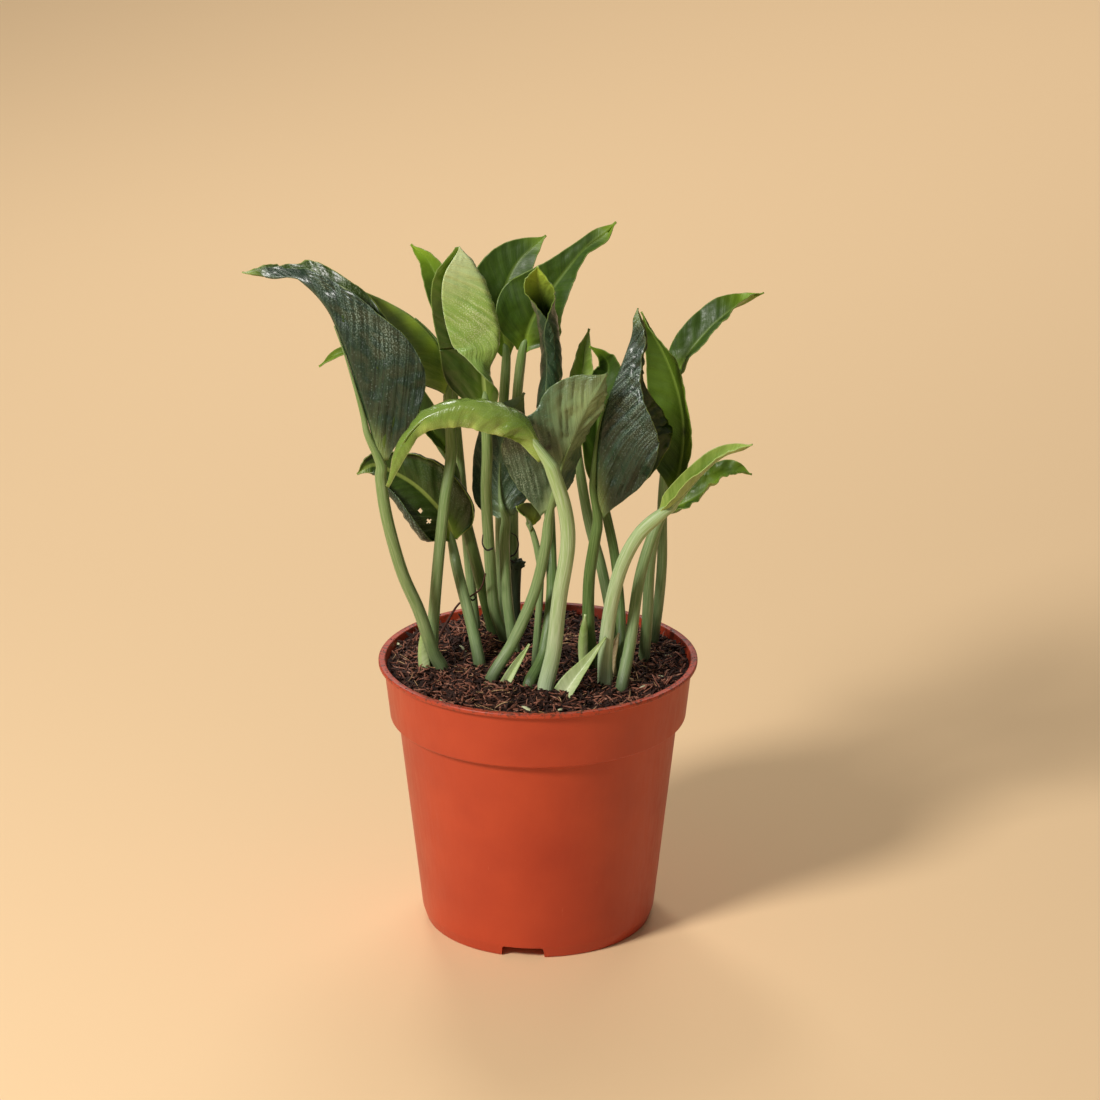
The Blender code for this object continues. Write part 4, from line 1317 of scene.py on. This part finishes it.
    def build(self, pot: NurseryPot, wardrobe: Wardrobe) -> None:
        """Make the top and everything strewn on it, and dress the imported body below."""
        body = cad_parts["soil"]
        body.data.materials.clear()
        body.data.materials.append(wardrobe.get(COIR))
        self.top(pot, wardrobe)
        for litter in LITTER:
            self.strew(litter, pot, wardrobe)
        self.crumbs(pot, wardrobe)
        self.chips(wardrobe)


COIR = CoirFinish("damp_coir", "#160b07", "#3a2118", "#70432f")
PITH = CoirFinish("coir_pith", "#2c1710", "#5c3527", "#94644c", grain=0.8)
RED_FIBRE = CoirFinish("coir_fibre_red", "#6a3a2a", "#9c6650", "#c79c84", grain=2.5, roughness=0.7)
DARK_FIBRE = CoirFinish("coir_fibre_dark", "#1f100b", "#41251b", "#5d3829", grain=2.5, roughness=0.8)
TAN_FIBRE = CoirFinish("coir_fibre_tan", "#9a7048", "#c9a578", "#e2cba0", grain=2.5, roughness=0.7)
HUSK = CoirFinish("pale_husk", "#b9bd8c", "#d9dcb4", "#eceed6", grain=2.0, roughness=0.7)

LITTER = (
    Litter("coir_fibres_dark", DARK_FIBRE, 2400, (2.5, 7.5), (0.5, 1.1), 35, lift=0.3),
    Litter("coir_fibres_red", RED_FIBRE, 1500, (2.2, 6.5), (0.4, 0.85), 35, lift=0.6),
    Litter("coir_strands_tan", TAN_FIBRE, 130, (3.0, 9.0), (0.22, 0.45), 22, lift=1.1),
)

# x, y, bearing, tilt, length, width
HUSK_CHIPS = (
    (-53.8, 18.3, -50, 5, 5.0, 1.2), (-3.3, -49.4, -55, 6, 9.0, 1.5), (-28.0, 5.5, -65, 10, 8.0, 0.9),
    (39.5, -27.5, 50, 5, 8.5, 0.7), (49.1, 5.5, 20, 12, 3.2, 1.3), (-10.7, -54.3, 15, 5, 3.4, 1.4),
    (-18.3, -30.6, 110, 15, 3.0, 1.1), (6.8, 13.0, -20, 8, 3.8, 1.2), (8.5, -50.5, 35, 10, 2.6, 1.0),
    (-35.5, -41.5, 60, 10, 3.2, 1.2), (46.0, -18.0, -30, 6, 3.0, 0.8), (12.0, 33.0, 15, 8, 3.4, 1.0),
)


# ---------------------------------------------------------------- the plant's own tables

BLADES = (
    LeafBlade("leaf_01", ((-57, -18, 187), (-61, -17, 202), (-65, -16, 215), (-70, -14, 230),
                          (-76, -11, 243), (-86, -7, 252), (-97, -3, 252), (-107, 0, 253)),
              ((1, 0, 0), (1, 0, 0.4)), Half(25, (78, 72)), Half(27, (90, 72), outline="folded_back"),
              "tailed", look=LeafLook.WITHERED, slot="leaf_dark", ruffle=SHRIVELLED, glow=(0.86, 0.9),
              rib_line=0.2,
              # silvering on the underside, with painted glints where it glistens
              silver_and_glint=(Patch(0.5, -0.6, 6, 0.8), Patch(0.4, -0.75, 6, 0.9), Patch(0.62, -0.8, 5, 0.9),
                      Patch(0.6, 0.85, 7, 0.9), Patch(0.72, 0.8, 6, 0.9), Patch(0.86, 0, 8, 0.6))),
    LeafBlade("leaf_02", ((-33, 5, 206), (-34, 5, 214), (-37, 4, 225), (-45, 2, 235), (-55, 0, 242),
                          (-64, -3, 247), (-69, -5, 250)),
              ((-0.7, -0.3, -0.6), (-0.6, -0.2, -0.8)), Half(17, (58, 50)), Half(12, (70, 60), (25, 25)),
              "heart", ruffle=Ruffle(pleat=0.1, wave=0.5, wave_length=14, crumple=0.3), glow=(0.85, 0.5),
              rib_line=0.3,
              # young patches along the midrib: a painted highlight where the top of the fold is lit from
              # above
              young_and_lit=(Patch(0.35, 0.1, 3.5, 0.8), Patch(0.5, 0.1, 4, 0.9), Patch(0.65, 0.1, 4, 0.9),
                     Patch(0.8, 0.1, 4, 0.9))),
    LeafBlade("leaf_03", ((-19, -5, 204), (-20, -5, 218), (-20, -5, 229), (-23, -6, 242), (-26, -7, 254),
                          (-28, -9, 265)),
              ((0, -1, 0.1), (0, -1, 0.1)), Half(16, (5, 5), (0, 0), outline="saddle"),
              Half(27, (10, 5), (0, 60, 140, 170, 174, 174, 172, 168, 165), (0.2, 0.4), "rolled"), "blunt",
              look=LeafLook.ROLLED,
              ruffle=Ruffle(pleat=0.24, pleat_gap=3.0, wave=0.5, crumple=0.55, sweep=1.5), glow=(0.6, 0.95),
              # silvering on the rolled flap, with painted glints on its glossy ripples
              rib_line=1.0, silver_and_glint=(Patch(0.5, 0.7, 8, 0.7), Patch(0.62, 0.6, 8, 0.7))),
    LeafBlade("leaf_04", ((-33, 20, 222), (-34, 21, 233), (-37, 24, 244), (-41, 27, 251), (-47, 30, 256)),
              ((-0.2, -0.9, 0.3), (-0.2, -0.8, 0.5)), Half(6), Half(6), "lance", glow=(0.3, 0.9)),
    LeafBlade("leaf_05", ((3, -36, 194), (-5, -37, 208), (-19, -38, 214), (-33, -38, 213), (-45, -38, 204),
                          (-54, -38, 184)),
              ((0.3, -0.5, 0.8), (-0.4, -0.7, 0.3)), Half(9, (-25, -20), (-50, -40)),
              Half(10, (-15, -15), (-60, -60)), "arched", look=LeafLook.WET,
              ruffle=Ruffle(pleat=0.2, wave=0.9, wave_length=16, crumple=0.8, crumple_size=9),
              glow=(0.3, 0.35),
              young_and_lit=(Patch(0.5, 0.3, 30, 0.4), Patch(0.05, 0, 9, 0.7), Patch(0.3, -1, 4, 0.9),
                     Patch(0.45, -1, 4, 0.9), Patch(0.6, -1, 4, 0.8), Patch(0.75, -0.9, 5, 0.8),
                     Patch(0.35, 0.3, 7, 0.5)),
              silver_and_glint=(Patch(0.3, -1, 3, 0.8), Patch(0.5, -1, 3, 0.8), Patch(0.3, 0.4, 5, 0.6)),
              rib_line=0.0),
    LeafBlade("leaf_06", ((-12, 45, 209), (-14, 47, 226), (-9, 50, 242), (3, 52, 254)),
              ((0, -0.9, 0.3), (0, -0.8, 0.5)), Half(14, (10, 10)), Half(11, (10, 10)), "lance",
              look=LeafLook.GLOSSY, slot="leaf_dark", glow=(0.8, 0.6)),
    LeafBlade("leaf_07", ((-6, 38, 213), (-2, 36, 226), (6, 34, 239), (17, 33, 253), (29, 32, 264)),
              ((0, -0.9, 0.3), (-0.2, -0.8, 0.5)), Half(15, (15, 10)), Half(13, (15, 20)), "spear",
              ruffle=CRINKLED, glow=(0.8, 0.7)),
    LeafBlade("leaf_08", ((3, 15, 198), (5, 16, 214), (4, 15, 227), (2, 12, 238), (0, 9, 247), (0, 5, 254)),
              ((0, -1, 0.1), (0, -1, 0.5)), Half(13, (5, 10), (176, 186, 182, 95, 25)),
              Half(14, (5, 10), (182, 194, 188, 95, 25)), "funnel", look=LeafLook.DARK, slot="leaf_dark",
              ruffle=Ruffle(pleat=0.25, pleat_gap=3.0, wave=0.3, crumple=0.45, crumple_size=6, sweep=2.2),
              # the young tip at full strength is partly painted light inside the shaded cup
              glow=(0.55, 1.0)),
    LeafBlade("leaf_09", ((15, 14, 180), (16, 16, 200), (16, 18, 209), (17, 20, 218), (19, 22, 226)),
              ((0, -1, 0.1), (0.2, -1, 0.2)), Half(6), Half(5), "lance", look=LeafLook.YOUNG,
              glow=(0.7, 0.3)),
    LeafBlade("leaf_10", ((4, -18, 168), (7, -21, 181), (10, -23, 191), (14, -25, 201), (19, -26, 213),
                          (25, -27, 223)),
              ((-0.2, 1, 0), (-0.2, 1, 0.2)), Half(10, (35, 20)), Half(23, (5, 5), (30, 15)), "shouldered",
              lobe=5, look=LeafLook.DARK, slot="leaf_dark", ruffle=SHRIVELLED, glow=(0.6, 0.6), rib_line=1.0,
              young_and_lit=(Patch(0.75, 0.05, 12, 0.9), Patch(0.5, -0.4, 9, 0.7), Patch(0.35, 0.02, 7, 0.5)),
              silver_and_glint=(Patch(0.15, 0.8, 8, 0.9), Patch(0.3, 0.9, 8, 0.9), Patch(0.4, 0.5, 6, 0.6),
                      Patch(0.85, 0.7, 6, 0.9)), decay=(Patch(0.42, 0.3, 1.3, 1.0),)),
    LeafBlade("leaf_11", ((-2, -3, 157), (-4, -6, 162), (-8, -10, 167)),
              ((0, -0.6, 0.8), (0, -0.6, 0.8)), Half(5), Half(5), "strap", look=LeafLook.DARK,
              slot="leaf_dark", rows=30, columns=24),
    LeafBlade("leaf_12", ((22, -14, 166), (22, -15, 183), (23, -16, 198), (26, -16, 210), (30, -15, 221),
                          (34, -13, 233), (36, -12, 243)),
              ((1, 0, 0.1), (1, 0, 0.1)), Half(22, (72, 50)), Half(29, (62, 45), (20, 5)), "almond", lobe=3,
              look=LeafLook.WITHERED, slot="leaf_dark", ruffle=SHRIVELLED, glow=(0.86, 0.6), rib_line=0.2,
              # silvering on the underside, with painted glints where it glistens
              silver_and_glint=(Patch(0.55, -0.55, 9, 1.0), Patch(0.4, -0.8, 8, 0.8), Patch(0.66, -0.4, 9, 0.8),
                      Patch(0.92, 0, 8, 0.9))),
    LeafBlade("leaf_13", ((50, 1, 169), (53, 4, 179), (54, 6, 192), (52, 7, 205), (48, 8, 217), (43, 9, 227),
                          (38, 9, 236)),
              ((-0.6, -0.7, 0.2), (-0.6, -0.7, 0.2)), Half(13, (40, 40)), Half(14, (35, 35)), "heart",
              glow=(0.8, 0.4),
              young_and_lit=(Patch(0.3, 0.95, 8, 0.8), Patch(0.5, 0.95, 8, 0.8), Patch(0.5, 0, 25, 0.25)),
              decay=(Patch(0.32, 0.05, 1.6, 1.0),), rib_line=1.0),
    LeafBlade("leaf_14", ((51, 20, 207), (56, 21, 217), (65, 23, 227), (73, 25, 233), (84, 28, 238)),
              ((-0.4, -0.7, 0.6), (-0.3, -0.7, 0.7)), Half(8, (10, 10)), Half(8, (50, 50)), "strap",
              ruffle=CRINKLED, glow=(0.6, 0.95)),
    LeafBlade("leaf_15", ((24, 5, 166), (22, 7, 176), (22, 9, 191), (23, 11, 204), (26, 13, 213),
                          (24, 13, 218), (19, 12, 222)),
              ((-0.2, -1, 0.1), (0, -1, 0.2)), Half(7), Half(8), "lance", slot="leaf_dark", rib_line=0.3),
    LeafBlade("leaf_16", ((45, -30, 172), (51, -31, 178), (58, -33, 186), (66, -34, 194), (77, -36, 199)),
              ((-0.5, -0.4, 0.8), (-0.5, -0.4, 0.8)), Half(5, (50, 50)), Half(5, (50, 50)), "strap",
              look=LeafLook.YOUNG, slot="leaf_pale", glow=(0.6, 0.7)),
    LeafBlade("leaf_17", ((47, -13, 167), (53, -15, 170), (59, -16, 174), (65, -17, 179), (71, -18, 183),
                          (78, -18, 182)),
              ((-0.3, -0.5, 0.8), (-0.3, -0.5, 0.8)), Half(7, (30, 30)), Half(6, (30, 30)), "strap",
              ruffle=Ruffle(pleat=0.5, pleat_gap=3, wave=1.2, wave_length=7, crumple=1.2, crumple_size=5),
              glow=(0.7, 0.6), young_and_lit=(Patch(0.6, 0.6, 6, 0.6),), rib_line=0.2),
    LeafBlade("leaf_18", ((-32, 11, 147), (-34, 9, 155), (-39, 7, 163), (-46, 7, 170), (-54, 7, 175),
                          (-61, 6, 178), (-67, 4, 175)),
              ((0.15, -0.9, 0.4), (0.15, -0.8, 0.6)), Half(19, (5, 5), (150, 150), (0.55, 1.0)),
              Half(16, (20, 20), (120, 120), (0.6, 1.0)), "heart", look=LeafLook.WITHERED, slot="leaf_dark",
              ruffle=Ruffle(pleat=0.3, pleat_gap=4.0, wave=0.5, crumple=0.5), glow=(0.84, 0.8), rib_line=1.0,
              silver_and_glint=(Patch(0.3, -1, 12, 0.8), Patch(0.3, 1, 12, 0.7)),
              holes=(Patch(0.36, -0.3, 0.9), Patch(0.27, -0.33, 0.8))),
    LeafBlade("leaf_19", ((-32, 11, 178), (-42, 13, 193), (-57, 16, 215), (-71, 17, 219), (-81, 16, 213)),
              ((0.2, -0.8, 0.6), (0.2, -0.6, 0.8)), Half(6), Half(6), "spear", glow=(0.6, 0.6)),
    LeafBlade("leaf_20", ((-12, 8, 157), (-14, 10, 165), (-14, 12, 177), (-12, 14, 190), (-5, 16, 203)),
              ((0.1, 1, 0), (0.1, 1, 0.2)), Half(11, (10, 10)), Half(11, (10, 10)), "strap",
              look=LeafLook.DARK, slot="leaf_dark", ruffle=CRINKLED, silver_and_glint=(Patch(0.4, 0, 10, 0.5),)),
)

SHEATHS = (
    LeafBlade("sheath_1", ((9.5, -35.5, 103), (13, -34, 108), (18, -32, 114), (25, -29, 123)),
              ((-0.45, -0.8, 0.45), (-0.45, -0.8, 0.45)), Half(4.2, (20, 20), (20, 20)),
              Half(4.2, (10, 10), (30, 30)), "tongue", look=LeafLook.SHEATH, slot="petiole_pale", ruffle=SOFT,
              glow=(0.9, 0.2), rib_line=0.0, rows=24, columns=16),
    LeafBlade("sheath_2", ((28, -19, 103), (27, -16, 109), (30, -14, 119)),
              ((0, -1, 0.2), (0, -1, 0.2)), Half(2.4), Half(2.4), "strap", look=LeafLook.DRY_SHEATH,
              slot="sheath_tan", ruffle=SOFT, rib_line=0.0, rows=24, columns=16),
    LeafBlade("sheath_3", ((-12, -26, 103), (-8, -24, 110), (-3, -23, 118)),
              ((-0.3, -0.9, 0.3), (-0.3, -0.9, 0.3)), Half(2.4), Half(2.4), "tongue", look=LeafLook.SHEATH,
              slot="petiole_pale", ruffle=SOFT, rows=24, columns=16),
    LeafBlade("sheath_4", ((-43.5, -9, 102), (-44, -8, 110), (-43, -7, 119)),
              ((0.6, 0.7, 0), (0.6, 0.7, 0)), Half(3.6, (10, 10), (60, 60)), Half(3.6, (10, 10), (60, 60)),
              "tongue", look=LeafLook.SHEATH, slot="petiole_pale", ruffle=SOFT, rows=24, columns=16),
    LeafBlade("sheath_5", ((17, -13, 104), (16.5, -14, 115), (17.5, -16, 127)),
              ((0.3, 1, 0), (0.3, 1, 0)), Half(2, (10, 10), (40, 40)), Half(2, (10, 10), (40, 40)), "strap",
              look=LeafLook.SHEATH, slot="petiole_pale", ruffle=SOFT, rows=24, columns=16),
)

PETIOLES = (
    Stalk("petiole_01", ((-36, -11), (-39, -12, 111), (-44, -14, 128), (-50, -16, 144), (-55, -18, 165),
                         (-57, -18, 180), (-57, -18, 186)), 2.5),
    Stalk("petiole_02", ((-40, -5), (-39, -4, 120), (-37, -4, 143), (-34.5, -2, 166), (-32, 3, 184),
                         (-33, 5, 205)), 2.3, swell=0.3),
    Stalk("petiole_03", ((-12.5, 15), (-16.5, 10, 120), (-18, 3, 144), (-19, -3, 170), (-18.5, -5, 186),
                         (-19, -5, 203)), 2.3),
    Stalk("petiole_04", ((-24, 25), (-26, 24, 130), (-29, 22, 170), (-33, 20, 221)), 2.0),
    Stalk("petiole_05", ((3, -31), (6, -31, 119), (8, -32, 139), (11, -34, 160), (10, -35, 174),
                         (6, -36, 188), (4, -36, 192.5)), 3.0, look=StalkLook.PALE, slot="petiole_pale"),
    Stalk("petiole_06", ((-14, 39), (-14.5, 41, 129), (-14, 43, 174), (-12, 45, 208)), 2.2),
    Stalk("petiole_07", ((-9, 45), (-9.5, 44, 127), (-9.5, 43, 160), (-8, 42, 192), (-6, 38, 212)), 2.2),
    Stalk("petiole_08", ((-3, -28), (2, -20, 113), (5, -10, 131), (5, 0, 143), (4, 10, 163), (2, 14, 181),
                         (2.5, 15, 196.5)), 2.2, look=StalkLook.DEEP),
    Stalk("petiole_09", ((29, -3), (28, 0, 117), (24, 6, 137), (19, 10, 155), (15, 14, 179)), 2.2),
    Stalk("petiole_10", ((-17, -23), (-9, -20, 118), (-1, -18, 137), (3, -18, 155), (4, -18, 164.5)), 2.3),
    Stalk("petiole_11", ((-1, -8), (1, -6, 136), (0, -4, 147), (-2, -3, 155)), 1.4),
    Stalk("petiole_12", ((21, -8), (19, -10, 119), (19, -12, 139), (21, -14, 155), (22, -14, 163.5)), 2.4,
          look=StalkLook.DEEP),
    Stalk("petiole_13", ((40, 0), (41, 0, 119), (42, 0, 143), (45, 0, 158), (50, 1, 168)), 2.2),
    Stalk("petiole_14", ((44, 20), (46, 20, 120), (47, 20, 136), (47, 22, 159), (49, 22, 183),
                         (51, 20, 206)), 2.1),
    Stalk("petiole_15", ((31, -16), (31, -6, 121), (29, 1, 142), (26, 4, 157), (24, 5, 165)), 2.0,
          look=StalkLook.DEEP),
    Stalk("petiole_16", ((25, -24), (25, -25, 116), (27, -27, 135), (31, -28, 151), (37, -29, 163),
                         (45, -30, 171)), 2.8, look=StalkLook.PALE, slot="petiole_pale"),
    Stalk("petiole_17", ((31, -30), (34, -24, 118), (37, -18, 139), (41, -15, 154), (46, -13, 165)), 2.3),
    Stalk("petiole_18", ((-22, -6), (-25, -1, 118), (-30, 6, 136), (-32, 11, 144.5)), 2.3),
    Stalk("petiole_19", ((-17, 21), (-20, 17, 121), (-26, 15, 148), (-30, 14.5, 165), (-32, 11.5, 176.5)),
          2.4, look=StalkLook.DEEP),
    Stalk("petiole_20", ((-9, 6), (-11.5, 7, 124), (-12.5, 8, 146), (-12, 8, 156)), 2.2),
)

CUT_STUB = Stalk("cut_stub", ((-9, 39), (-9, 38.5, 115), (-8.5, 38, 128)), 2.0, 1.1, StalkLook.STUB, "stub",
                 swell=0.1)
WIRY_ROOT = Stalk("wiry_root", ((-38, 12), (-31, 11, 120), (-26, 8, 125), (-21.5, 4, 130), (-19.5, -2, 138)),
                  0.5, 0.6, StalkLook.ROOT, "root", swell=0.0, flat=0.0, sides=8)

TENDRILS = {
    "tendril_on_stub": ((-8.6, 36.5, 128.5), (-11.3, 37.4, 130.4), (-8.9, 36.4, 132.5), (-7.6, 36, 136.1),
                        (-8.3, 36, 139.6), (-10.4, 36.4, 141)),
    "tendril_at_front": ((-16.7, -4.6, 149), (-18.9, -5, 148.4), (-20.5, -4.6, 150.6), (-20.4, -3.6, 154)),
    "tendril_on_root": ((-26, 7.4, 125), (-24.6, 6.6, 124.4), (-23.6, 6.4, 125.4), (-24.2, 6.8, 126.6)),
}


class Plant:
    """The blades, petioles and dead bits, joined up in growing order."""

    KNOB = (-8.2, 38, 127.6)  # mm, the middle of the stub's ragged end
    KNOB_RADIUS = 2.7  # mm
    TENDRIL_RADIUS = 0.42  # mm
    TENDRIL_STEPS = 24

    def __init__(self, wardrobe: Wardrobe, bed: SoilBed) -> None:
        """Remember the finishes and the soil."""
        self.wardrobe = wardrobe
        self.bed = bed

    def grow(self) -> None:
        """Make every petiole with its blade, then the sheaths."""
        for stalk, blade in zip(PETIOLES, BLADES):
            number = stalk.node.rsplit("_", 1)[1]
            stalk.build(self.wardrobe, self.bed, blade, f"petiole_tube_{number}")
            blade.build(self.wardrobe, f"blade_{number}")
            log.info("grew leaf %s", number)
        for sheath in SHEATHS:
            sheath.build(self.wardrobe, f"torn_{sheath.node}")
            log.info("made %s", sheath.node)

    def dead_bits(self) -> None:
        """Make the cut stub with its ragged end, the wiry root and the dry tendrils."""
        CUT_STUB.build(self.wardrobe, self.bed, None, "old_cut_stub")
        WIRY_ROOT.build(self.wardrobe, self.bed, None, "loose_wiry_root")
        bm = bmesh.new()
        bmesh.ops.create_icosphere(bm, subdivisions=4, radius=self.KNOB_RADIUS)
        for vertex in bm.verts:
            ragged = 1 + 0.4 * noise.fractal(vertex.co / 1.3, 0.8, 2.0, 3)
            vertex.co = (Vector(self.KNOB) + Vector((1.05, 0.9, 0.85)) * ragged * vertex.co) * MM
        knob = make_object("stub_ragged_end", bm, [self.wardrobe.get(StalkLook.STUB.value)])
        settle(knob, "stub")
        for name, route in TENDRILS.items():
            points = smooth_curve([Vector(point) for point in route], self.TENDRIL_STEPS)
            radii = [self.TENDRIL_RADIUS * (1 - 0.55 * step / self.TENDRIL_STEPS)
                     for step in range(len(points))]
            bark = self.wardrobe.get(StalkLook.TENDRIL.value)
            settle(make_object(name, rolled_tube(points, radii, 8), [bark]), "root")
        log.info("made the stub, the root and the tendrils")


# ---------------------------------------------------------------- studio


@dataclass(frozen=True)
class Studio:
    """A pale floor, soft lights and the camera."""

    camera_place: tuple[float, float, float] = (0.0045, -1.2111, 0.5670)
    camera_aim: tuple[float, float, float] = (0.0045, 0.0, 0.1467)
    lens: float = 112.7
    floor_colour: str = "#f2d0a2"
    world_colour: str = "#f4ede2"
    world_strength: float = 0.16

    LIGHTS = (
        # name, place, aim, size, watts, colour
        ("key", (-0.85, -0.8, 0.95), (0, 0, 0.13), 0.34, 19.0, "#fffbf6"),
        ("fill", (0.6, -1.3, 0.9), (0, 0, 0.13), 1.0, 0.6, "#fff8f0"),
        ("back", (-0.3, 1.1, 1.2), (0, 0, 0.13), 0.35, 5.5, "#fffdf8"),
        ("backdrop", (0.4, 2.0, 1.9), (0.4, 2.4, 0), 1.4, 26.0, "#fffbf6"),
    )

    def camera(self) -> None:
        """Place the camera and make it the scene's."""
        data = bpy.data.cameras.new("camera")
        data.sensor_width = 36
        data.lens = self.lens
        obj = bpy.data.objects.new("camera", data)
        obj.location = self.camera_place
        aim = Vector(self.camera_aim) - Vector(self.camera_place)
        obj.rotation_euler = aim.to_track_quat("-Z", "Y").to_euler()
        bpy.context.scene.collection.objects.link(obj)
        bpy.context.scene.camera = obj

    def floor(self) -> None:
        """Lay the wide, flat, matt floor, far past what the camera sees."""
        material, _, shader = new_material("studio_paper")
        shader.inputs["Base Color"].default_value = linear(self.floor_colour)
        shader.inputs["Roughness"].default_value = 0.9
        bm = bmesh.new()
        bmesh.ops.create_grid(bm, x_segments=1, y_segments=1, size=6)
        obj = make_object("studio_floor", bm, [material])

    def lights(self) -> None:
        """Hang the soft lights and set the sky."""
        for name, place, aim, size, watts, colour in self.LIGHTS:
            data = bpy.data.lights.new(name, "AREA")
            data.shape = "DISK"
            data.size = size
            data.energy = watts
            data.color = linear(colour)[:3]
            obj = bpy.data.objects.new(name, data)
            obj.location = place
            obj.rotation_euler = (Vector(aim) - Vector(place)).to_track_quat("-Z", "Y").to_euler()
            bpy.context.scene.collection.objects.link(obj)
        world = bpy.data.worlds.new("studio_air")
        world.use_nodes = True
        sky = world.node_tree.nodes["Background"]
        sky.inputs["Color"].default_value = linear(self.world_colour)
        sky.inputs["Strength"].default_value = self.world_strength
        bpy.context.scene.world = world
        bpy.context.scene.view_settings.view_transform = "Standard"


def main() -> None:
    """Build the studio, the pot, the soil and the plant in order."""
    logging.basicConfig(level=logging.INFO)
    studio = Studio()
    studio.camera()
    studio.floor()
    studio.lights()
    wardrobe = Wardrobe()
    pot = NurseryPot()
    pot.build()
    log.info("made the pot")
    bed = SoilBed()
    bed.build(pot, wardrobe)
    log.info("made the soil")
    plant = Plant(wardrobe, bed)
    plant.grow()
    plant.dead_bits()


if __name__ == "__main__":
    main()
